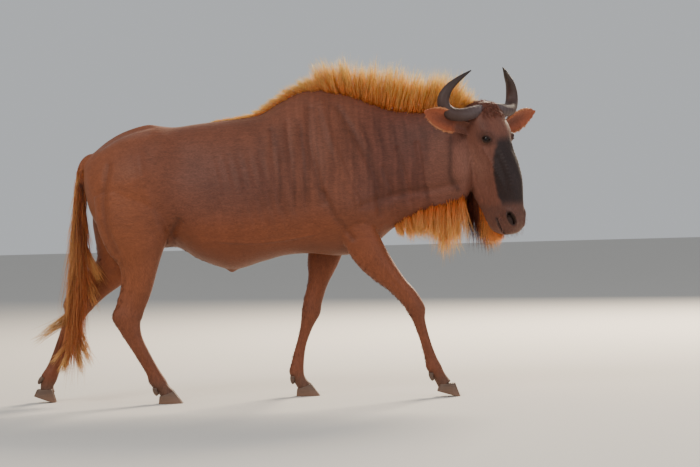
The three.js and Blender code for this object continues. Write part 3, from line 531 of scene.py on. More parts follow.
def raw_skin():
    solids = [trunk_rings(ring_count=190, sides=96), skull_rings(ring_count=120, sides=96)]
    solids += [leg_rings(leg, per_joint=7, sides=48) for leg in LEGS.values()]
    for side in (RIGHT, LEFT):
        solids.append(ear_rings(side, ring_count=40, across_count=20))
        centre = head_points(EYE["at"], side)
        solids.append(ball_rings(centre, EYE["radius"] + LID_THICKNESS, ring_count=16, sides=24))
    solids.append(tube_rings(on_middle(DOCK), ring_count=60, sides=28))
    return joined_solids("skin", [ring_solid(rings) for rings in solids])


# Creases and ridges of the sides, as lines of x, z with their half width and height.
SIDE_LINES = {
    "haunch_groove": ([(-1040, 1040), (-1062, 900), (-1050, 760), (-1010, 660)], 15, -6),
    "thigh_front": ([(-905, 1080), (-880, 940), (-840, 800), (-790, 700)], 22, 5),
    "flank_fold": ([(-742, 790), (-774, 730), (-766, 684)], 15, -9),
    "croup_ridge": ([(-1080, 1120), (-980, 1160), (-870, 1180)], 20, 3),
    "blade_spine": ([(-110, 1290), (-70, 1130), (-10, 960), (40, 850)], 16, 5),
    "blade_rear": ([(-165, 1270), (-165, 1120), (-135, 960), (-110, 860)], 18, -6),
    "arm_rear": ([(-110, 900), (-60, 790), (10, 700)], 14, -6),
    "shoulder_front": ([(-40, 1270), (60, 1090), (125, 930), (135, 800)], 16, -6),
    "neck_fold_low": ([(150, 1000), (185, 900), (200, 790)], 11, -4),
    "neck_fold_middle": ([(215, 1080), (245, 960), (262, 850)], 11, -4),
    "neck_fold_high": ([(300, 1100), (318, 980), (325, 880)], 11, -3.5),
    "neck_cord": ([(60, 840), (210, 880), (360, 900), (470, 920)], 18, -6),
    "rib_fold_rear": ([(-330, 1180), (-318, 1000), (-300, 830)], 12, -3),
    "rib_fold_middle": ([(-262, 1210), (-250, 1020), (-232, 820)], 12, -3),
    "rib_fold_front": ([(-205, 1190), (-198, 1000), (-182, 830)], 12, -2.5),
    "belly_vein": ([(-560, 700), (-420, 690), (-280, 700), (-160, 720)], 6, 2.5),
}
FOLD_STRENGTH = 1.45
# Tip of the sheath under the belly.
SHEATH = (-522, 0, 573)
LEG_RELIEF = {"groove": -3.2, "cord": -3.5, "knee": 5, "hock": 9, "fetlock": 4}
# Ripple of the ribs, and how far it reaches along the barrel and up it.
RIBS = {"spacing": 46, "height": 1.7, "rear": -640, "front": -230, "top": 1130, "bottom": 700}


def line_distance(x, z, line):
    """Distance in the side view from points to a smooth line."""
    path = smooth_rows(line, np.linspace(0, 1, 24))
    best = np.full(len(x), 1e9)
    for start, end in zip(path[:-1], path[1:]):
        way = end - start
        t = ((x - start[0]) * way[0] + (z - start[1]) * way[1]) / (way @ way)
        t = np.clip(t, 0, 1)
        best = np.minimum(best, np.hypot(x - start[0] - t * way[0], z - start[1] - t * way[1]))
    return best


def body_relief(points, normals):
    """Folds, ribs, the groove of the croup and the sheath, as heights over the plain body."""
    x, y, z = points.T
    side_on = np.abs(normals[:, 1]) ** 0.7
    behind_head = side_on * (1 - ease(470, 540, x))
    lift = np.zeros(len(points))
    for line, width, height in SIDE_LINES.values():
        lift += FOLD_STRENGTH * height * bell(line_distance(x, z, line), 0, width) * behind_head
    croup = ease(-1110, -1050, x) * ease(-820, -880, x) * ease(0.35, 0.8, normals[:, 2])
    lift += croup * (5 * bell(y, 0, 13) - 7 * bell(np.abs(y), 42, 20))
    lift += 13 * bell(np.linalg.norm(points - SHEATH, axis=1), 0, 20)
    along = ease(RIBS["rear"], RIBS["rear"] + 80, x) * (1 - ease(RIBS["front"] - 60, RIBS["front"], x))
    upright = ease(RIBS["bottom"], RIBS["bottom"] + 120, z) * (1 - ease(RIBS["top"] - 160, RIBS["top"], z))
    slant = x + 0.22 * (z - 900)
    lift += RIBS["height"] * np.cos(2 * np.pi * slant / RIBS["spacing"]) * along * upright * side_on
    return lift


def leg_relief(points, normals):
    """Tendons, the knee cap, the point of the hock and the fetlocks."""
    lift = np.zeros(len(points))
    for name, leg in LEGS.items():
        hind = "hind" in name
        near = (np.sign(points[:, 1]) == leg["side"]) & (points[:, 2] < 620)
        x, _, z = points[near].T
        forwards = normals[near, 0]
        side_on = np.abs(normals[near, 1])
        path = np.array(leg["path"], float)
        level = path[::-1, 1]
        half = np.interp(z, level, np.array(leg["girths"], float)[::-1, 0])
        back = (x - np.interp(z, level, path[::-1, 0])) / half
        knee = path[6 if hind else 4, 1]
        foot = path[-3, 1]
        down = ease(knee - 40, knee - 90, z) * ease(foot + 20, foot + 60, z)
        groove = LEG_RELIEF["groove"] * bell(back, -0.22, 0.2) * side_on * down
        cord = LEG_RELIEF["cord"] * bell(back, -0.15, 0.25) * side_on * bell(z, knee + 110, 55)
        way, height = (-forwards, LEG_RELIEF["hock"]) if hind else (forwards, LEG_RELIEF["knee"])
        cap = height * bell(z, knee, 30) * ease(0.3, 0.95, way)
        fetlock = LEG_RELIEF["fetlock"] * bell(z, foot + 6, 18) * ease(0.2, 0.9, -forwards)
        lift[near] += (groove + cord + cap + fetlock) * (np.abs(back) < 1.6)
    return lift


def eye_frame(side):
    look = head_way(EYE["axis"], side)
    along = head_way(EYE["along"], side)
    lift = unit(np.cross(look, along))
    if lift[2] < 0:
        lift = -lift
    along = unit(along - look * (along @ look))
    return head_points(EYE["at"], side), look, along, lift


def shape_eye(points, side):
    """Raises the lids round the ball and opens an almond between them."""
    centre, look, along, lift = eye_frame(side)
    a, b, h = measured(points, centre, along, lift, look)
    near = (np.hypot(a, b) < 46) & (h > -8)
    a, b, h = a[near], b[near], h[near]
    lid = np.sqrt(np.maximum((EYE["radius"] + 4.2) ** 2 - a**2 - b**2, 0))
    raised = h + (np.maximum(lid, h) - h) * (1 - ease(17, 34, np.hypot(a, b * 1.15)))
    length, height = EYE_OPENING
    past_corner = np.abs(a) - length / 2
    bow = np.where(b > 0, 1.15, 0.85) * np.clip(1 - (a / (length / 2)) ** 2, 0, 1) ** 0.75
    edge = np.where(past_corner > 0, -past_corner, height / 2 * bow) - np.abs(b)
    opened = raised - 13 * ease(-0.6, 1.4, edge)
    rim = 1.5 * bell(edge, -2.6, 1.8)
    folds = [height * bell(edge, at, width) * ease(*span, b) for height, at, width, span in EYE_FOLDS]
    moved = points.copy()
    moved[near] += (opened + rim + sum(folds) - h)[:, None] * look
    return moved


def nostril_frame(side):
    out = head_way(NOSTRIL["out"], side)
    up = unit(HEAD_AXES[2] - out * (HEAD_AXES[2] @ out))
    inward = np.cross(up, out) * side
    return head_points(NOSTRIL["at"], side), out, unit(inward), up


def shape_nostril(points, side):
    """Sinks a comma-shaped nostril with a raised outer wing and a fold within it."""
    centre, out, inward, up = nostril_frame(side)
    a, b, h = measured(points, centre, inward, up, out)
    near = (np.hypot(a, b) < 62) & (h > -34)
    a, b = a[near], b[near]
    lean = a - NOSTRIL_LEAN * b
    wide, tall = NOSTRIL["radii"]
    hole = (1 - np.hypot(lean / wide, b / tall)) * wide
    fold = (np.hypot((lean - 8) / 9, (b + 12) / 19) - 1) * 9
    sunk = -NOSTRIL["depth"] * ease(-0.8, 5, np.minimum(hole, fold))
    rim = 5 * bell(hole, -5, 5.5) * ease(10, -12, a) + 3 * bell(hole, -4, 4) * ease(-4, 8, a)
    moved = points.copy()
    moved[near] += (sunk + rim)[:, None] * out
    return moved


def mouth_distance(local):
    """How far points of the head's frame lie down the line of the mouth and in front of it."""
    corner = np.array(MOUTH["corner"], float)
    _, way_f, way_u = unit(np.array(MOUTH["end"]) - corner)
    _, f, u = (local - corner).T
    return f * way_f + u * way_u, f * way_u - u * way_f


def shape_mouth(points, normals):
    """Cuts the line of the mouth between its lips."""
    local = head_local(points)
    along, across = mouth_distance(local)
    wave = across + 2.5 * np.sin(np.clip(along, 0, 90) / 22)
    lips = 2.6 * bell(wave, 10, 7) + 2 * bell(wave, -9, 6) - 7.5 * bell(wave, 0, 2.6)
    shown = ease(-4, 10, along) * (local[:, 2] < -440)
    return points + (lips * shown)[:, None] * normals


# Lines on the head in its own frame: points on the right side, half width and height.
HEAD_LINES = {
    "cheek_ridge": ([(76, 38, -190), (66, 62, -240), (58, 90, -300), (56, 112, -350)], 9, 3.5),
    "cheek_edge": ([(80, -8, -180), (78, -30, -260), (66, -40, -330), (52, -20, -400)], 12, -3),
    "nose_bone": ([(34, 96, -180), (34, 126, -250), (36, 148, -330), (40, 152, -400)], 10, 3),
    "nose_hollow": ([(52, 92, -230), (50, 118, -300), (50, 130, -370)], 11, -4),
    "lip_fold": ([(58, 92, -462), (56, 74, -478), (52, 56, -500)], 7, -3),
    "brow_fold": ([(62, 76, -104), (78, 62, -108), (90, 40, -118)], 6, -2.5),
}


def head_relief(points):
    """The lines of the face and the fine folds over the nose."""
    r, f, u = head_local(points).T
    right = np.stack([np.abs(r), f, u], axis=-1)
    lift = np.zeros(len(points))
    for line, width, height in HEAD_LINES.values():
        path = smooth_rows(line, np.linspace(0, 1, 16))
        nearest = np.min([np.sum((right - place) ** 2, axis=1) for place in path], axis=0)
        lift += height * np.exp(-nearest / width**2)
    ripples = 0.5 * np.sin(u / 4.2 + 0.02 * f)
    return lift + ripples * ease(-430, -450, u) * ease(120, 90, np.abs(r)) * (f > 60)


def joint_weights(points):
    """Where the neck runs into the head and the legs into the trunk."""
    _, y, z = points.T
    r, f, u = head_local(points).T
    behind = ease(-70, -110, f) * ease(-300, -240, f) * ease(-340, -300, u) * ease(10, -40, u)
    shoulder = bell(z, 700, 60) * ease(60, 110, np.abs(y))
    return np.clip(behind * (np.abs(r) < 170) + 0.6 * shoulder, 0, 1)


def fine_places(points):
    """The points round the eyes, the nostrils and the mouth."""
    local = head_local(points)
    r, f, u = local.T
    right = np.stack([np.abs(r), f, u], axis=-1)
    fine = np.linalg.norm(right - np.array(EYE["at"]), axis=1) < 48
    fine |= np.linalg.norm(right - np.array(NOSTRIL["at"]), axis=1) < 52
    mouth = np.abs(mouth_distance(local)[1]) < 14
    return fine | mouth & (u < -462) & (f > 20)


def make_skin():
    skin = raw_skin()
    outward(skin)
    apply_modifier(skin, "REMESH", mode="VOXEL", voxel_size=VOXEL * MM, use_smooth_shade=True)
    relax(skin, 9)
    relax(skin, 60, joint_weights(points_of(skin)))
    points = points_of(skin)
    head = np.linalg.norm(points - head_points((0, 0, -280)), axis=1) < 300
    refine(skin, head & (head_local(points)[:, 1] > -150))
    refine(skin, fine_places(points_of(skin)))
    points = points_of(skin)
    normals = normals_of(skin)
    lift = body_relief(points, normals) + leg_relief(points, normals) + head_relief(points)
    set_points(skin, points + lift[:, None] * normals)
    points = shape_mouth(points + lift[:, None] * normals, normals_of(skin))
    for side in (RIGHT, LEFT):
        points = shape_eye(points, side)
        points = shape_nostril(points, side)
    set_points(skin, points)
    skin.data.polygons.foreach_set("use_smooth", [True] * len(skin.data.polygons))
    return skin


# Colours, as sRGB shares out of 255.
def linear(red, green, blue):
    share = np.array([red, green, blue], float) / 255
    return np.where(share <= 0.04045, share / 12.92, ((share + 0.055) / 1.055) ** 2.4)


BODY = linear(104, 60, 44)
NECK_SHADE = linear(90, 52, 43)
STRIPE = linear(58, 31, 24)
HAUNCH = linear(120, 66, 40)
BELLY = linear(116, 62, 38)
BARREL = linear(86, 52, 44)
# Painted shade for the creases of the folds, the underside and the edge of the cheek.
PAINTED_SHADE = linear(48, 26, 20)
SHIN = linear(104, 58, 39)
PASTERN = linear(84, 60, 48)
BLAZE = linear(38, 26, 26)
FACE = linear(104, 64, 52)
# Greyish cheek; the same colour also makes the painted highlight along the croup.
CHEEK_AND_CROUP_HIGHLIGHT = linear(118, 80, 68)
MUZZLE = linear(84, 54, 46)
# Painted shade inside the nostrils.
NOSTRIL_SHADE = linear(24, 16, 16)
LID_DARK = linear(34, 22, 20)
EYE_SHADE = linear(70, 42, 34)
EAR_INSIDE = linear(150, 78, 50)
# Painted shade deep in the cup of the ear.
EAR_CUP_SHADE = linear(88, 48, 38)
EAR_RIM = linear(214, 150, 104)
# Golden mane and throat beard, their colours made lighter as a painted glow of light shining through them
# from behind.
MANE_ROOT_WITH_GLOW = linear(236, 148, 74)
MANE_TIP_WITH_GLOW = linear(255, 228, 146)
BEARD_ROOT_WITH_GLOW = linear(240, 146, 66)
BEARD_TIP_WITH_GLOW = linear(255, 220, 150)
JAW_DARK = linear(150, 84, 60)
JAW_TIP = linear(104, 54, 38)
CHIN_ROOT = linear(238, 136, 62)
CHIN_TIP = linear(255, 204, 132)
TAIL_DARK = linear(52, 30, 29)
TAIL_OUTER = linear(196, 96, 48)
TAIL_TIP = linear(246, 196, 122)

# Dark streaks of the neck, shoulder and ribs: x and z down their length, half width, strength.
BANDS = [
    ([(-480, 1150), (-462, 1010), (-440, 880)], 15, 0.25),
    ([(-392, 1200), (-380, 1040), (-352, 850)], 20, 0.4),
    ([(-322, 1180), (-300, 1020), (-290, 810)], 11, 0.6),
    ([(-276, 1250), (-262, 1060), (-226, 840)], 14, 0.5),
    ([(-214, 1220), (-190, 1030), (-184, 800)], 10, 0.65),
    ([(-112, 1260), (-96, 1110), (-70, 960)], 22, 0.3),
    ([(-20, 1270), (14, 1090), (50, 940)], 16, 0.45),
    ([(52, 1240), (92, 1080), (118, 860)], 11, 0.65),
    ([(122, 1220), (158, 1060), (170, 840)], 13, 0.6),
    ([(196, 1200), (222, 1010), (236, 850)], 10, 0.7),
    ([(252, 1190), (276, 1040), (300, 900)], 15, 0.45),
    ([(322, 1180), (334, 1020), (336, 860)], 10, 0.6),
    ([(384, 1190), (400, 1060), (400, 900)], 14, 0.6),
    ([(430, 1170), (424, 1040), (428, 930)], 9, 0.8),
]
# Painted shade along the edge between neck and cheek, and the folds whose creases get painted shade.
JOWL_SHADE_LINE = [(446, 1120), (440, 962), (470, 900)]
SHADED_LINES = ("flank_fold", "arm_rear", "blade_rear", "haunch_groove", "shoulder_front")
# Blaze: depth below the poll, and how far forward its near edge runs there.
BLAZE_EDGE = [(100, 86), (170, 86), (220, 78), (270, 72), (340, 70), (390, 76), (430, 92)]


def mixed(colours, other, share):
    return colours + (other - colours) * share[:, None]


def painted(colours, *layers):
    """Colours with layers laid over them, each a colour and its share at every point."""
    for colour, share in layers:
        colours = mixed(colours, colour, share)
    return colours


def coat_colour(points, normals):
    """Markings of the coat at points of the skin, with painted shade in the creases of the folds, under the
    trunk and along the edge of the cheek, and a painted highlight along the croup.
    """
    x, y, z = points.T
    side_on = np.abs(normals[:, 1])
    # Painted shade on the underside of the trunk, chosen by the normals that face down.
    underside_shade = ease(-0.35, -0.95, normals[:, 2]) * ease(540, 580, z) * ease(460, 400, x)
    colours = painted(
        np.tile(BODY, (len(points), 1)),
        (HAUNCH, ease(-700, -980, x) * 0.9),
        (NECK_SHADE, ease(-40, 180, x) * ease(700, 900, z) * 0.8),
        (BELLY, ease(860, 720, z) * ease(-900, -760, x) * 0.8),
        (PAINTED_SHADE, underside_shade * 0.25),
        (BARREL, bell(x, -520, 260) * bell(z, 960, 130) * 0.6),
        (BARREL, bell(x, -900, 130) * bell(z, 1080, 90) * 0.45),
    )
    # Painted shade in the creases of these folds.
    for name in SHADED_LINES:
        line, width, _ = SIDE_LINES[name]
        colours = mixed(colours, PAINTED_SHADE, bell(line_distance(x, z, line), 0, 0.9 * width) * side_on * 0.26)
    # Painted highlight along the ridge of the croup, in the colour of the cheek.
    croup_highlight = line_distance(x, z, SIDE_LINES["croup_ridge"][0])
    colours = mixed(colours, CHEEK_AND_CROUP_HIGHLIGHT, bell(croup_highlight, 0, 16) * 0.5)
    warped = x + 4 * np.sin(z / 61) + 2 * np.sin(z / 23 + x / 60)
    ends = ease(800, 930, z) * ease(1290, 1150, z) * side_on * 0.75
    for line, width, strength in BANDS:
        reach = 1.5 * width * (1 + 0.35 * np.sin(z / 53 + line[0][0]))
        colours = mixed(colours, STRIPE, bell(line_distance(warped, z, line), 0, reach) * ends * strength)
    fine = np.sin(warped / 5.1) + np.sin(warped / 8.3 + 1) + np.sin(warped / 3.4 + z / 90)
    fine = fine * ease(-420, -180, x) * ease(760, 900, z) * side_on
    colours = painted(
        colours * (1 + 0.055 * fine)[:, None],
        (SHIN, ease(560, 330, z) * 0.85),
        (PASTERN, ease(130, 60, z) * 0.8),
    )
    # Painted shade along the edge between neck and cheek, on the right side only.
    jowl_shade = bell(line_distance(x, z, JOWL_SHADE_LINE), 0, 13) * ease(-60, -120, y)
    return mixed(head_colour(colours, points), PAINTED_SHADE, jowl_shade * 0.55)


def head_colour(colours, points):
    """Markings of the head over the colours of the coat, with painted shade round the eyes, inside the
    nostrils and deep in the cups of the ears.
    """
    local = head_local(points)
    r, f, u = local.T
    on_head = ease(-150, -90, f + 0.28 * np.abs(u)) * ease(300, 240, np.linalg.norm(local, axis=1) - 330)
    on_head *= (r > -400) & (f > -190) & (u < 40)
    front = np.interp(-u, *np.array(BLAZE_EDGE).T)
    wobble = 4 * np.sin(u / 13) + 3 * np.sin(u / 5.3 + 1)
    blaze = ease(-10, 10, f - front + wobble * 0.4) * ease(-112, -168, u + wobble) * ease(-470, -425, u)
    along, across = mouth_distance(local)
    colours = painted(
        colours,
        (FACE, on_head * 0.8),
        (EYE_SHADE, bell(u, -92, 42) * bell(f, 36, 34) * ease(36, 60, np.abs(r)) * on_head * 0.55),
        (CHEEK_AND_CROUP_HIGHLIGHT, bell(u, -250, 90) * bell(f, -20, 60) * on_head * 0.6),
        (BLAZE, blaze * on_head),
        (MUZZLE, ease(-405, -455, u) * on_head * 0.9),
        (LID_DARK, bell(across, 0, 7) * ease(-6, 6, along) * (u < -440) * 0.75),
    )
    for side in (RIGHT, LEFT):
        centre, look, eye_along, lift = eye_frame(side)
        a, b, h = measured(points, centre, eye_along, lift, look)
        shade = ease(46, 22, np.hypot(a / 1.3, b - 4)) * (h > -30)
        rim = ease(19, 12.5, np.hypot(a / 1.35, b)) * (h > -10)
        # Painted shade inside the hollow of each nostril.
        centre, out, inward, up = nostril_frame(side)
        a, b, h = measured(points, centre, inward, up, out)
        wide, tall = NOSTRIL["radii"]
        nostril = ease(1.5, 0.95, np.hypot((a - NOSTRIL_LEAN * b) / wide, b / tall)) * (h > -45)
        share, spread, close = ear_place(points, side)
        on_ear = ease(0.22, 0.36, share) * (spread < 1.3) * close
        colours = painted(
            colours,
            (EYE_SHADE, shade * 0.7),
            (LID_DARK, rim * 0.95),
            (NOSTRIL_SHADE, nostril * 0.85),
            (EAR_INSIDE, on_ear * 0.85),
            # Painted shade deep in the cup of the ear.
            (EAR_CUP_SHADE, on_ear * ease(0.75, 0.1, spread) * ease(1.0, 0.5, share) * 0.75),
            (EAR_RIM, on_ear * ease(0.8, 1.0, spread) * 0.7),
        )
    return colours


def set_colours(piece, name, colours):
    attribute = piece.data.color_attributes.new(name, "FLOAT_COLOR", "POINT")
    whole = np.ones((len(colours), 4), np.float32)
    whole[:, :3] = colours
    attribute.data.foreach_set("color", whole.ravel())


def set_value(piece, name, values):
    attribute = piece.data.attributes.new(name, "FLOAT", "POINT")
    attribute.data.foreach_set("value", np.asarray(values, np.float32))


def head_share(points):
    """1 on the head and 0 behind it."""
    _, f, u = head_local(points).T
    return ease(-140, -60, f + 0.2 * np.abs(u)) * (points[:, 0] > 440)


def upright_coat(points):
    """1 where the coat runs down, as on the legs, head and tail, and 0 where it runs along the body."""
    x, _, z = points.T
    return np.max([ease(720, 600, z), head_share(points), ease(-1130, -1160, x)], axis=0)


def unwrap(piece):
    """A flat layout of the skin's own shape."""
    bpy.context.view_layer.objects.active = piece
    piece.select_set(True)
    piece.data.uv_layers.new(name="OFBake")
    bpy.ops.object.mode_set(mode="EDIT")
    bpy.ops.mesh.select_all(action="SELECT")
    bpy.ops.uv.smart_project(angle_limit=math.radians(66), island_margin=0.002)
    bpy.ops.object.mode_set(mode="OBJECT")
    piece.select_set(False)


# Hair
PATCH = 0.003
MAP_STEP = 3
HAIR_FLATNESS = 0.55
# Hairs in a lock, spread at the root, half width, how far they draw together, frizz, segments.
STYLES = {
    "mane": (18, 5.5, 0.85, 0.82, 0.03, 5),
    "withers_fringe": (14, 4, 0.7, 0.6, 0.05, 5),
    "throat_beard": (22, 6, 0.85, 0.8, 0.05, 5),
    "jaw_beard": (22, 6, 0.85, 0.75, 0.04, 5),
    "chin_tuft": (20, 5, 0.75, 0.7, 0.06, 5),
    "tail_hair": (22, 4.5, 0.85, 0.86, 0.03, 5),
    "poll_tufts": (5, 1.8, 0.5, 0.5, 0.08, 3),
    "edge_tufts": (5, 1.8, 0.4, 0.5, 0.08, 3),
    "whiskers": (5, 1.8, 0.22, 0.5, 0.08, 3),
    "ear_tufts": (5, 1.8, 0.4, 0.5, 0.08, 3),
}
rng = np.random.default_rng(2249)


class SkinMap:
    """Finds the place on the skin's layout and the skin's own surface near a point."""

    def __init__(self, skin, colours):
        self.points = points_of(skin)
        self.normals = normals_of(skin)
        self.colours = colours
        vertex = read(skin.data.loops, "vertex_index", 1, np.int32)[:, 0]
        self.uv = np.zeros((len(self.points), 2))
        self.uv[vertex] = read(skin.data.uv_layers["OFBake"].data, "uv", 2)
        self.tree = KDTree(len(self.points) // MAP_STEP + 1)
        for i in range(0, len(self.points), MAP_STEP):
            self.tree.insert(self.points[i], i)
        self.tree.balance()

    def nearest(self, points):
        return np.array([self.tree.find(point)[1] for point in points])


def hair_faces(hairs, rings):
    """Faces of three-sided hairs that end in a point."""
    index = np.arange((rings - 1) * 3).reshape(rings - 1, 3)
    ahead = np.roll(index, -1, axis=1)
    tip = (rings - 1) * 3
    first = np.stack([index[:-1], ahead[:-1], ahead[1:]], axis=-1).reshape(-1, 3)
    second = np.stack([index[:-1], ahead[1:], index[1:]], axis=-1).reshape(-1, 3)
    end = np.stack([index[-1], ahead[-1], np.full(3, tip)], axis=-1)
    faces = np.concatenate([first, second, end, index[:1, ::-1]])
    return (faces[None] + (np.arange(hairs) * (tip + 1))[:, None, None]).reshape(-1, 3)


def hair_mesh(name, paths, half_widths, sides, colours, uv):
    """Builds hairs from paths of shape (hairs, rings, 3): flat three-sided hairs that end in a point."""
    hairs, rings = paths.shape[:2]
    along = unit(paths[:, -1] - paths[:, 0])
    across = unit(np.cross(along, sides))
    deep = np.cross(along, across)
    angle = turn_angles(3)[:, None]
    ring = np.cos(angle) * across[:, None] + HAIR_FLATNESS * np.sin(angle) * deep[:, None]
    points = paths[:, :, None] + ring[:, None] * half_widths[:, :, None, None]
    points = np.concatenate([points[:, :-1].reshape(hairs, -1, 3), paths[:, -1:]], axis=1)
    faces = hair_faces(hairs, rings)
    mesh = bpy.data.meshes.new(name)
    mesh.vertices.add(hairs * points.shape[1])
    mesh.vertices.foreach_set("co", placed(points.reshape(-1, 3)).astype(np.float32).ravel())
    mesh.loops.add(len(faces) * 3)
    mesh.loops.foreach_set("vertex_index", faces.ravel().astype(np.int32))
    mesh.polygons.add(len(faces))
    mesh.polygons.foreach_set("loop_start", np.arange(0, len(faces) * 3, 3, dtype=np.int32))
    mesh.polygons.foreach_set("use_smooth", np.ones(len(faces), bool))
    mesh.update()
    mesh.validate()
    share = np.concatenate([np.repeat(np.linspace(0, 1, rings)[:-1], 3), [1.0]])
    around = np.concatenate([np.tile([0, 0.5, 1], rings - 1), [0.5]])
    corner = np.stack([around, share], axis=-1) * PATCH
    per_point = (uv[:, None] + corner[None]).reshape(-1, 2)
    layer = mesh.uv_layers.new(name="OFBake")
    layer.data.foreach_set("uv", per_point[faces.ravel()].astype(np.float32).ravel())
    piece = linked(name, mesh)
    root_colours, tip_colours = colours
    blend = share[None, :, None] ** 0.8
    shade = root_colours[:, None] * (1 - blend) + tip_colours[:, None] * blend
    set_colours(piece, "Coat", shade.reshape(-1, 3))
    return piece


def varied(colour, count, amount):
    """A colour for each hair, a little lighter or darker than the named one."""
    return np.clip(colour * (1 + amount * rng.normal(size=(count, 1))), 0.004, 1)


def lock_hair(name, skin_map, locks, root_colour, tip_colour):
    """Hair in locks. locks has roots, ways, lengths and bends, one row for each lock."""
    roots = locks[0]
    count = len(roots) * STYLES[name][0]
    colours = (varied(root_colour, count, 0.12), varied(tip_colour, count, 0.12))
    return lock_strands(name, locks, colours, skin_map.uv[skin_map.nearest(roots)])


def lock_strands(name, locks, colours, uv):
    """The hairs of the locks, each with its own way, wave and length."""
    roots, ways, lengths, bends = locks
    per_lock, spread, width, clump, frizz, segments = STYLES[name]
    lock = np.repeat(np.arange(len(roots)), per_lock)
    count = len(lock)
    offset = rng.normal(size=(count, 3)) * spread
    length = (lengths[lock] * np.clip(rng.normal(0.88, 0.12, count), 0.4, 1.04))[:, None, None]
    share = np.linspace(0, 1, segments + 1)[None, :, None]
    way = unit(ways[lock] + rng.normal(size=(count, 3)) * 0.05)
    path = roots[lock][:, None] + way[:, None] * length * share
    path = path + bends[lock][:, None] * length * share**2
    path = path + offset[:, None] * (1 - clump * share**1.3)
    path = path + rng.normal(size=(count, 1, 3)) * frizz * length * share**2
    wave = np.sin(share * rng.uniform(2, 6, (count, 1, 1)) + rng.uniform(0, 6, (count, 1, 1)))
    path = path + wave * share * rng.normal(size=(count, 1, 3)) * 0.018 * length
    taper = np.interp(share[0, :, 0], [0, 0.2, 0.4, 0.6, 0.8, 1], [0.7, 1.0, 0.95, 0.8, 0.5, 0.05])
    half = width * rng.uniform(0.7, 1.25, (count, 1)) * taper[None]
    uv = np.clip(uv[lock], 0, 1 - PATCH)
    return hair_mesh(name, path, half, rng.normal(size=(count, 3)), colours, uv)


def ridge_locks(shape, count, sunk, half_width, splay, bend, upper=True):
    """Locks on the middle line of the trunk's top or underside, spread to both sides."""
    x = np.linspace(shape[0][0], shape[-1][0], count) + rng.normal(size=count) * 5
    _, height, lean = rows_at(shape, x)
    lean = np.radians(lean + rng.normal(size=count) * 5)
    away = 1 if upper else -1
    across = rng.uniform(-1, 1, count)
    roots = trunk_edge(x, upper)
    roots[:, 1] += across * half_width
    roots[:, 2] -= away * (sunk + 0.35 * half_width * across**2)
    ways = np.stack([np.sin(lean), across * splay, away * np.cos(lean)], axis=-1)
    uneven = 1 + 0.06 * np.sin(x / 13) + 0.05 * np.sin(x / 31 + 2)
    lengths = (height * uneven + sunk) * np.clip(rng.normal(0.93, 0.11, count), 0.55, 1.06)
    bends = np.array(bend, float) + rng.normal(size=(count, 3)) * 0.04
    bends[:, 1] += across * 0.05
    return roots, unit(ways), lengths, bends


def make_mane(skin_map):
    locks = ridge_locks(MANE_SHAPE, 330, sunk=10, half_width=20, splay=0.10, bend=(0.03, 0, -0.02))
    return lock_hair("mane", skin_map, locks, MANE_ROOT_WITH_GLOW, MANE_TIP_WITH_GLOW)


def make_withers(skin_map):
    locks = ridge_locks(WITHERS_SHAPE, 150, sunk=6, half_width=16, splay=0.2, bend=(-0.1, 0, -0.1))
    return lock_hair("withers_fringe", skin_map, locks, MANE_ROOT_WITH_GLOW, MANE_TIP_WITH_GLOW)


def make_throat(skin_map):
    bend = (0.02, 0, 0)
    locks = ridge_locks(THROAT_SHAPE, 150, sunk=12, half_width=44, splay=0.06, bend=bend, upper=False)
    return lock_hair("throat_beard", skin_map, locks, BEARD_ROOT_WITH_GLOW, BEARD_TIP_WITH_GLOW)


def jaw_locks(first, last, count, shortest):
    """Locks that hang straight down from the lower edge of the jaw."""
    u = np.linspace(first, last, count)
    _, length, lean = rows_at(JAW_SHAPE, u)
    back = rows_at([row[:3] for row in HEAD_SECTIONS], u)[2]
    across = rng.uniform(-1, 1, count)
    half = np.interp(u, [-548, -460, -300], [16, 30, 44])
    roots = head_points(np.stack([across * half, back + 16 + 10 * across**2, u + 12], axis=-1))
    ways = head_way(np.stack([across * 0.05, np.sin(np.radians(lean)), np.full(count, -1.0)], axis=-1))
    bends = rng.normal(size=(count, 3)) * 0.04
    return roots, ways, length * rng.uniform(shortest, 1.05, count), bends


def make_jaw(skin_map):
    return lock_hair("jaw_beard", skin_map, jaw_locks(-450, -286, 120, 0.5), JAW_DARK, JAW_TIP)


def make_chin(skin_map):
    return lock_hair("chin_tuft", skin_map, jaw_locks(-552, -440, 80, 0.6), CHIN_ROOT, CHIN_TIP)


def locks_between(roots, tips, spread):
    """Locks from given roots to given tips, each with a bend of its own."""
    lengths = np.linalg.norm(tips - roots, axis=1)
    bends = rng.normal(size=roots.shape) * spread
    ways = (tips - roots) / lengths[:, None] - bends
    return roots, unit(ways), lengths, bends


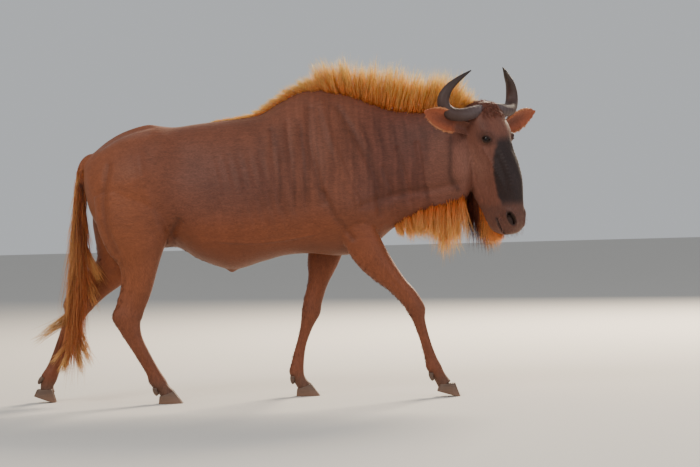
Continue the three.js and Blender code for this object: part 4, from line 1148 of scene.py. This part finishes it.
def make_tail(skin_map):
    """Tail hair: short on the dock, long from its end, with loose locks blown back."""
    count = 210
    table = on_middle(TAIL)
    start = 0.14 + 0.54 * rng.uniform(0, 1, count) ** 0.75
    reach = np.interp(start, [0.14, 0.3, 0.42, 0.7], [0.1, 0.2, 0.36, 0.42])
    first = smooth_rows(table, start)
    last = smooth_rows(table, np.minimum(start + reach * rng.uniform(0.45, 1.05, count) ** 1.3, 1))
    angle = rng.uniform(0, 2 * np.pi, count)
    around = np.stack([np.cos(angle), np.sin(angle), np.zeros(count)], axis=-1)
    dock = np.interp(first[:, 2], [600, 660, 740, 830, 1040], [4, 9, 13, 16, 20])
    roots = first[:, :3] + around * dock[:, None]
    out = np.sqrt(rng.uniform(0.05, 1, count))[:, None] * np.interp(last[:, 2:3], [230, 480], [0.5, 1])
    tips = last[:, :3] + around * out * last[:, [3, 4, 4]]
    wisps = np.array(TAIL_WISPS, float)[:, [0, 2, 1]]
    loose = np.repeat(wisps, np.where(wisps[:, 0] < -1300, 3, 6), axis=0)
    loose = loose + rng.normal(size=loose.shape) * 7
    rise = np.interp(loose[:, 0], [-1340, -1300, -1180, -1100], [0.75, 1, 1.1, 1.4])
    height = np.minimum(loose[:, 2] + rng.uniform(90, 170, len(loose)) * rise, 760)
    tail_x, tail_z = np.array(TAIL[:1:-1], float)[:, :2].T
    centre = np.interp(height, tail_z, tail_x)
    begin = np.stack([centre + 0.12 * (loose[:, 0] - centre), loose[:, 1] * 0.5, height], axis=-1)
    locks = locks_between(np.concatenate([roots, begin]), np.concatenate([tips, loose]), 0.07)

    # The outer hairs are fairer, most of all on the far edge, and the lowest wisps have fair tips.
    per_lock = STYLES["tail_hair"][0]
    edge = np.clip(0.1 - 0.75 * np.cos(angle) * out[:, 0], 0, 1)
    edge = np.repeat(np.concatenate([edge, np.full(len(loose), 0.55)]), per_lock)[:, None]
    outer = np.clip(edge + rng.uniform(-0.1, 0.3, (len(edge), 1)), 0, 1)
    fair = np.repeat(np.concatenate([np.zeros(count, bool), loose[:, 2] < 330]), per_lock)[:, None]
    root_colours = TAIL_DARK + (TAIL_OUTER - TAIL_DARK) * outer
    tip_colours = np.where(fair, TAIL_TIP, TAIL_OUTER + (TAIL_TIP - TAIL_OUTER) * outer)
    return lock_hair("tail_hair", skin_map, locks, root_colours, tip_colours)


def coat_lie(points):
    """The way the short coat lies: back along the body, down the legs, neck front and head."""
    down = ease(760, 620, points[:, 2])
    way = np.stack([-0.95 + 0.75 * down, np.zeros(len(points)), -0.35 - 0.65 * down], axis=-1)
    head_down = -HEAD_AXES[2] - 0.25 * HEAD_AXES[1]
    return unit(way + (head_down - way) * head_share(points)[:, None])


def tufts(name, skin_map, weights, count, length, stand, brighter):
    """Small tufts of the short coat on the parts of the skin that the weights choose."""
    weights = np.maximum(weights, 0)
    chosen = rng.choice(len(weights), count, p=weights / weights.sum())
    normals = skin_map.normals[chosen]
    lie = coat_lie(skin_map.points[chosen])
    lie = lie - normals * np.sum(lie * normals, axis=1, keepdims=True)
    ways = unit(unit(lie) + normals * stand)
    roots = skin_map.points[chosen] - normals * 1.5
    lengths = length * rng.uniform(0.6, 1.2, count)
    bends = -normals * 0.12 + rng.normal(size=(count, 3)) * 0.08
    base = np.repeat(skin_map.colours[chosen], STYLES[name][0], axis=0)
    colours = (varied(base, len(base), 0.1), varied(np.clip(base * brighter, 0, 1), len(base), 0.1))
    return lock_strands(name, (roots, ways, lengths, bends), colours, skin_map.uv[chosen])


# Horns, hooves and eyes
HORN_RINGS = 120
HORN_SIDES = 40
HOOF_ROUNDNESS = 2.6
SIDE_NAMES = {RIGHT: "right", LEFT: "left"}


def make_horn(side):
    stations = [(*head_points(row[:3], side), row[3], row[3]) for row in HORN_PATH]
    rings = tube_rings(stations, HORN_RINGS, HORN_SIDES, HEAD_AXES[1])
    share = np.linspace(0, 1, HORN_RINGS + 1)
    ripple = 1 + 0.02 * np.sin(share * 150) * ease(0.6, 0.1, share)
    centre = rings.mean(axis=1, keepdims=True)
    points, faces = ring_solid(centre + (rings - centre) * ripple[:, None, None])
    outward_way = head_way((1, 0, 0), side)
    depth = (points - head_points((HORN_PARTING, 0, 0), side)) @ outward_way
    points = points - np.minimum(depth, 0)[:, None] * outward_way
    name = f"horn_{SIDE_NAMES[side]}"
    piece = new_object(name + "_sheath", points, faces)
    outward(piece)
    set_value(piece, "Along", np.repeat(share, HORN_SIDES))
    return piece, name


def hoof_points(leg, local):
    """Points of a hoof in its own frame, tilted by the foot's pitch and set on the ground."""
    pivot = FLAT_LENGTH if leg["pitch"] > 0 else 0
    turn = math.radians(leg["pitch"])
    x = local[..., 0] + pivot
    tilted_x = x * math.cos(turn) + local[..., 2] * math.sin(turn)
    tilted_z = -x * math.sin(turn) + local[..., 2] * math.cos(turn)
    y = leg["side"] * leg["apart"] + local[..., 1]
    return np.stack([leg["toe"] - pivot + tilted_x, y, np.maximum(tilted_z, 0)], axis=-1)


def claw_rings(leg, sideways):
    share = np.concatenate([[0, 0.04], np.linspace(0.1, 1.06, 16)])[:, None]
    angle = turn_angles(CLAW_SIDES)
    reach = (np.cos(angle) + 1) / 2
    top = CLAW["heel"] + (CLAW["front"] - CLAW["heel"]) * reach
    z = share * top
    front = -z * CLAW["slope"]
    rear = -CLAW["length"] + z * 0.1
    x = rear + (front - rear) * reach
    narrow = np.where(np.cos(angle) > 0, 1 - 0.28 * np.cos(angle) ** 2, 1)
    growth = 1 + 0.012 * np.sin(z * 1.1)
    bottom = np.where(share < 0.05, 0.97, 1.0)
    half = CLAW["half_width"] * (1 - 0.16 * share) * narrow * growth * bottom
    y = sideways * CLAW["spread"] + round_power(np.sin(angle), HOOF_ROUNDNESS) * half
    inner = sideways * CLAW_PARTING
    y = np.maximum(y, inner) if sideways > 0 else np.minimum(y, inner)
    return hoof_points(leg, np.stack([x, np.broadcast_to(y, x.shape), z], axis=-1))


def dewclaw_rings(leg, sideways):
    k = len(leg["path"]) - 3
    along = unit(joint_at(leg, k + 1) - joint_at(leg, k))
    back = unit(np.cross([0, 1, 0], along))
    back = -back if back[0] > 0 else back
    root = joint_at(leg, k) + back * (leg["girths"][k][0] - 8) + along * DEWCLAW["below"]
    root[1] += sideways * DEWCLAW["spread"]
    stations = []
    for share in (0, 0.35, 0.75, 1):
        p = root + along * DEWCLAW["length"] * share + back * 10 * math.sin(share * 2)
        radius = DEWCLAW["radius"] * math.sqrt(1 - 0.85 * share * share)
        stations.append((*p, radius, radius * 0.9))
    return tube_rings(stations, ring_count=16, sides=24)


def make_hoof(name, leg):
    solids = []
    for sideways in (RIGHT, LEFT):
        solids += [ring_solid(claw_rings(leg, sideways)), ring_solid(dewclaw_rings(leg, sideways))]
    piece = joined_solids("hoof_" + name, solids)
    outward(piece)
    return piece


def make_eye(side):
    """A ball with the clear bulge of its cornea."""
    centre, look, along, lift = eye_frame(side)
    rings = ball_rings(0, 1, ring_count=40, sides=48)
    bulge = 1 + 0.05 * ease(0.72, 0.95, rings[:, :, 2:])
    points, faces = ring_solid(centre + rings @ np.array([along, lift, look]) * EYE["radius"] * bulge)
    name = f"eye_{SIDE_NAMES[side]}"
    piece = new_object(name + "_ball", points, faces)
    outward(piece)
    a, b, h = measured(points, centre, along, lift, look)
    set_value(piece, "Pupil", np.where(h > 0, np.hypot(a / 1.25, b), 99))
    return piece, name


# Materials
def tone(red, green, blue):
    """A colour with its alpha, as node inputs take it."""
    return (*linear(red, green, blue), 1)


class Nodes:
    """A short way to build a material's nodes."""

    def __init__(self, name):
        self.material = bpy.data.materials.new(name)
        self.material.use_nodes = True
        self.tree = self.material.node_tree
        self.shader = self.tree.nodes["Principled BSDF"]
        self.output = self.tree.nodes["Material Output"]

    def fill(self, node, inputs):
        """Sets inputs of a node to plain values or links them to other nodes."""
        for key, value in inputs.items():
            if isinstance(value, bpy.types.NodeSocket):
                self.tree.links.new(value, node.inputs[key])
            else:
                node.inputs[key].default_value = value

    def finished(self, inputs):
        """The material, with these inputs of its main shader."""
        self.fill(self.shader, inputs)
        return self.material

    def add(self, kind, inputs=None, **settings):
        node = self.tree.nodes.new(kind)
        for key, value in settings.items():
            setattr(node, key, value)
        self.fill(node, inputs or {})
        return node

    def attribute(self, name, output="Fac"):
        return self.add("ShaderNodeAttribute", attribute_name=name).outputs[output]

    def place(self):
        return self.add("ShaderNodeTexCoord").outputs["Object"]

    def noise(self, stretch, scale, detail):
        """Noise with its number of grains to the metre along x, y and z."""
        vector = self.add("ShaderNodeMapping", {"Vector": self.place(), "Scale": stretch}).outputs["Vector"]
        inputs = {"Vector": vector, "Scale": scale, "Detail": detail, "Roughness": 0.55}
        return self.add("ShaderNodeTexNoise", inputs).outputs["Fac"]

    def math(self, operation, a, b):
        return self.add("ShaderNodeMath", {0: a, 1: b}, operation=operation).outputs[0]

    def mix(self, factor, a, b):
        return self.add("ShaderNodeMix", {0: factor, 6: a, 7: b}, data_type="RGBA").outputs[2]

    def mix_value(self, factor, a, b):
        return self.add("ShaderNodeMix", {0: factor, 2: a, 3: b}, data_type="FLOAT").outputs[0]

    def scaled(self, value, new_low, new_high, low=0.3, high=0.7):
        """A value between low and high, brought between two others. Noise lies between 0.3 and 0.7."""
        inputs = {0: value, 1: low, 2: high, 3: new_low, 4: new_high}
        return self.add("ShaderNodeMapRange", inputs).outputs[0]

    def shaded(self, colour, shade):
        inputs = {"Color": colour, "Value": shade, "Saturation": 1.0}
        return self.add("ShaderNodeHueSaturation", inputs).outputs["Color"]

    def bump(self, height, strength, distance):
        inputs = {"Height": height, "Strength": strength, "Distance": distance}
        return self.add("ShaderNodeBump", inputs).outputs["Normal"]


def coat_material():
    nodes = Nodes("short_coat")
    colour = nodes.attribute("Coat", "Color")
    upright = nodes.attribute("Upright")
    bare = nodes.attribute("Bare")
    along_body = nodes.noise((70, 420, 420), 1, 4)
    down_leg = nodes.noise((420, 420, 80), 1, 4)
    hairs = nodes.mix_value(upright, along_body, down_leg)
    clumps_along = nodes.noise((22, 70, 70), 1, 2)
    clumps_down = nodes.noise((80, 80, 24), 1, 2)
    clumps = nodes.mix_value(upright, clumps_along, clumps_down)
    patches = nodes.noise((1, 1, 1), 7, 3)
    shade = nodes.math("MULTIPLY", nodes.scaled(hairs, 0.72, 1.22), nodes.scaled(clumps, 0.9, 1.1))
    shade = nodes.math("MULTIPLY", shade, nodes.scaled(patches, 0.9, 1.1))
    tint = nodes.shaded(colour, nodes.mix_value(bare, shade, 1.0))
    roughness = nodes.mix_value(bare, nodes.scaled(hairs, 0.62, 0.5), 0.34)
    pores = nodes.noise((1, 1, 1), 900, 2)
    height = nodes.mix_value(bare, nodes.math("ADD", hairs, nodes.math("MULTIPLY", clumps, 1.4)), pores)
    return nodes.finished({
        "Base Color": tint,
        "Roughness": roughness,
        "Specular IOR Level": 0.22,
        "Sheen Weight": 0.1,
        "Sheen Roughness": 0.45,
        "Sheen Tint": (1.0, 0.72, 0.5, 1),
        "Normal": nodes.bump(height, 0.42, 0.0022),
    })


def hair_material(name, glow):
    """Hair that lets a share of the light through."""
    nodes = Nodes(name)
    colour = nodes.attribute("Coat", "Color")
    tint = nodes.shaded(colour, nodes.scaled(nodes.noise((160, 160, 30), 1, 2), 0.85, 1.15))
    through = nodes.add("ShaderNodeBsdfTranslucent", {"Color": tint}).outputs[0]
    both = nodes.add("ShaderNodeMixShader", {0: glow, 1: nodes.shader.outputs[0], 2: through}).outputs[0]
    nodes.fill(nodes.output, {"Surface": both})
    return nodes.finished({"Base Color": tint, "Roughness": 0.42, "Specular IOR Level": 0.35})


def horn_material():
    nodes = Nodes("horn_sheath")
    along = nodes.attribute("Along")
    boss = nodes.mix(nodes.scaled(along, 0, 1, 0.05, 0.35), tone(96, 84, 86), tone(66, 48, 44))
    tip = nodes.mix(nodes.scaled(along, 0, 1, 0.6, 0.95), boss, tone(34, 28, 28))
    fibres = nodes.noise((60, 60, 60), 1.5, 5)
    fine = nodes.noise((300, 300, 300), 1, 3)
    colour = nodes.mix(nodes.scaled(fibres, 0, 0.5, 0.35, 0.7), tip, tone(60, 46, 42))
    roughness = nodes.scaled(fine, 0.52, 0.66)
    normal = nodes.bump(nodes.math("ADD", fibres, nodes.math("MULTIPLY", fine, 0.4)), 0.35, 0.0015)
    inputs = {"Base Color": colour, "Roughness": roughness, "Specular IOR Level": 0.3, "Normal": normal}
    return nodes.finished(inputs)


def hoof_material():
    nodes = Nodes("hoof_wall")
    growth = nodes.noise((20, 20, 420), 1, 3)
    grain = nodes.noise((300, 300, 60), 1, 3)
    colour = nodes.mix(nodes.scaled(growth, 0, 1, 0.35, 0.65), tone(60, 46, 39), tone(88, 67, 54))
    level = nodes.add("ShaderNodeSeparateXYZ", {0: nodes.place()}).outputs["Z"]
    dusty = nodes.mix(nodes.scaled(level, 0.6, 0.1, 0, 0.05), colour, tone(128, 90, 66))
    roughness = nodes.scaled(grain, 0.45, 0.65)
    normal = nodes.bump(nodes.math("ADD", growth, nodes.math("MULTIPLY", grain, 0.5)), 0.4, 0.0015)
    return nodes.finished({"Base Color": dusty, "Roughness": roughness, "Normal": normal})


def eye_material():
    nodes = Nodes("eye_surface")
    pupil = nodes.attribute("Pupil")
    streaks = nodes.noise((500, 500, 500), 1, 3)
    iris = nodes.mix(nodes.scaled(streaks, 0, 1), tone(22, 13, 9), tone(44, 25, 15))
    ring = nodes.mix(nodes.scaled(pupil, 0, 1, 12.5, 14.5), iris, tone(24, 15, 12))
    colour = nodes.mix(nodes.scaled(pupil, 1, 0, 5.2, 6.2), ring, (0.002, 0.002, 0.003, 1))
    return nodes.finished({"Base Color": colour, "Roughness": 0.09, "Specular IOR Level": 0.3})


def floor_material():
    return Nodes("studio_floor").finished({"Base Color": (0.52, 0.5, 0.47, 1), "Roughness": 0.9})


def finish_piece(piece, material, slot_name, *nodes):
    """Gives a piece its look and the nodes of the solids that it takes the place of; slot_name is not used.
    """
    piece.data.materials.clear()
    piece.data.materials.append(material)
    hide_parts(*nodes)
    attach(piece, "root")


def bare_share(points):
    """Bare skin at the tip of the nose."""
    _, f, u = head_local(points).T
    return ease(-470, -500, u) * (f > 120) * 0.7


# Weights that choose the parts of the skin where small tufts stand.
def poll_weights(skin_map):
    r, f, u = head_local(skin_map.points).T
    return ease(75, 45, np.abs(r)) * ease(-70, -10, u) * (np.abs(f) < 75)


def edge_weights(skin_map):
    """The backs of the legs, most of all the hocks, the fold of the flank and the edge of the jaw."""
    x, _, z = skin_map.points.T
    r, f, u = head_local(skin_map.points).T
    rear = ease(0.2, 0.8, -skin_map.normals[:, 0])
    legs = rear * (0.5 * ease(720, 640, z) * ease(60, 110, z) + ease(560, 520, z) * ease(330, 400, z))
    fold = bell(line_distance(x, z, SIDE_LINES["flank_fold"][0]), 0, 30)
    jaw = (np.abs(r) < 110) * ease(-60, -110, f) * ease(-200, -260, u) * ease(-420, -380, u) * (x > 480)
    return legs + fold + 1.5 * jaw


def whisker_weights(skin_map):
    _, f, u = head_local(skin_map.points).T
    nose = (u < -470) * (f > 20) * ease(60, 20, np.abs(f - 110)) + (u < -530)
    return nose * (f > 0) * 1.0


def rim_weights(skin_map):
    total = np.zeros(len(skin_map.points))
    for side in (RIGHT, LEFT):
        share, spread, close = ear_place(skin_map.points, side)
        total += ease(0.72, 0.95, spread) * (spread < 1.4) * (share > 0.3) * (share < 1.1) * close
    return total


# Tufts: name, weights, count, length, how far they stand off, how much brighter, slot.
TUFTS = [
    ("poll_tufts", poll_weights, 560, 26, 0.45, 2.2, "mane_hair"),
    ("edge_tufts", edge_weights, 2100, 16, 0.35, 1.15, "coat"),
    ("whiskers", whisker_weights, 70, 34, 1.3, 4.0, "mane_hair"),
    ("ear_tufts", rim_weights, 900, 9, 0.4, 2.0, "mane_hair"),
]

# Assembly
skin = make_skin()
skin_points = points_of(skin)
skin_colours = coat_colour(skin_points, normals_of(skin))
set_colours(skin, "Coat", skin_colours)
set_value(skin, "Upright", upright_coat(skin_points))
set_value(skin, "Bare", bare_share(skin_points))
unwrap(skin)
finish_piece(skin, coat_material(), "coat", *SKIN_NODES)
skin_map = SkinMap(skin, skin_colours)

long_hair = hair_material("long_hair", 0.62)
finish_piece(make_mane(skin_map), long_hair, "mane_hair", "mane_neck")
finish_piece(make_withers(skin_map), long_hair, "mane_hair", "mane_withers")
finish_piece(make_throat(skin_map), long_hair, "mane_hair", "beard_throat")
finish_piece(make_jaw(skin_map), long_hair, "mane_hair", "beard_chin")
finish_piece(make_chin(skin_map), long_hair, "mane_hair")
finish_piece(make_tail(skin_map), hair_material("tail_strands", 0.18), "tail_hair", "tail_tuft")

short_hair = hair_material("short_hair", 0.2)
for name, weights, count, length, stand, brighter, slot_name in TUFTS:
    piece = tufts(name, skin_map, weights(skin_map), count, length, stand, brighter)
    finish_piece(piece, short_hair, slot_name)

horn_look = horn_material()
eye_look = eye_material()
hoof_look = hoof_material()
for side in (RIGHT, LEFT):
    horn, horn_node = make_horn(side)
    finish_piece(horn, horn_look, "horn", horn_node)
    eye, eye_node = make_eye(side)
    finish_piece(eye, eye_look, "eye", eye_node)
for leg_name, leg in LEGS.items():
    feet = [f"{leg_name}_{part}_{side}" for part in ("claw", "dewclaw") for side in ("right", "left")]
    finish_piece(make_hoof(leg_name, leg), hoof_look, "hoof", *feet)


# Stage, light and camera
def plane(name, size):
    """A square on the ground, in metres."""
    half = size / 2
    mesh = bpy.data.meshes.new(name)
    corners = [(-half, -half, 0), (half, -half, 0), (half, half, 0), (-half, half, 0)]
    mesh.from_pydata(corners, [], [(0, 1, 2, 3)])
    return linked(name, mesh)


floor = plane("floor", 60)
floor.data.materials.append(floor_material())


def area_light(name, place, aim, size, power, colour):
    light = bpy.data.lights.new(name, "AREA")
    light.shape = "RECTANGLE"
    light.size, light.size_y = size
    light.energy = power
    light.color = colour
    lamp = linked(name, light)
    lamp.location = place
    lamp.rotation_euler = (Vector(aim) - Vector(place)).to_track_quat("-Z", "Y").to_euler()


area_light("key", (-3.5, -6.0, 5.5), (0, 0, 0.8), (3.5, 3), 430, (1.0, 0.95, 0.88))
area_light("rim", (3.4, 6.6, 4.6), (0.2, 0, 0.9), (3.0, 2.4), 1900, (1.0, 0.84, 0.64))
area_light("fill", (6.0, -5.0, 2.5), (0, 0, 0.8), (4, 3), 160, (0.94, 0.97, 1.0))
world = bpy.data.worlds.new("studio")
world.use_nodes = True
sky = world.node_tree.nodes["Background"]
sky.inputs[0].default_value = (0.80, 0.83, 0.86, 1)
sky.inputs[1].default_value = 0.62
bpy.context.scene.world = world

# The camera looks at the right side from 12 m, a little from above and rolled as in the picture.
SENSOR = 36.0
PIXELS_PER_METRE = 227.8
PICTURE_WIDTH = 700
CAMERA_DISTANCE = 12.0
CAMERA_RISE = math.radians(1.0)
CAMERA_ROLL = math.radians(1.5)
AIM_HEIGHT = 716.7
camera_data = bpy.data.cameras.new("camera")
camera_data.sensor_width = SENSOR
camera_data.lens = SENSOR * CAMERA_DISTANCE * PIXELS_PER_METRE / PICTURE_WIDTH
camera = linked("camera", camera_data)
aim = Vector(placed((0, 0, AIM_HEIGHT)))
forward = Vector((0, math.cos(CAMERA_RISE), -math.sin(CAMERA_RISE)))
level = Vector((1, 0, 0))
above = level.cross(forward)
across = level * math.cos(CAMERA_ROLL) - above * math.sin(CAMERA_ROLL)
above = above * math.cos(CAMERA_ROLL) + level * math.sin(CAMERA_ROLL)
rotation = Matrix((across, above, -forward)).transposed().to_4x4()
camera.matrix_world = Matrix.Translation(aim - forward * CAMERA_DISTANCE) @ rotation
bpy.context.scene.camera = camera
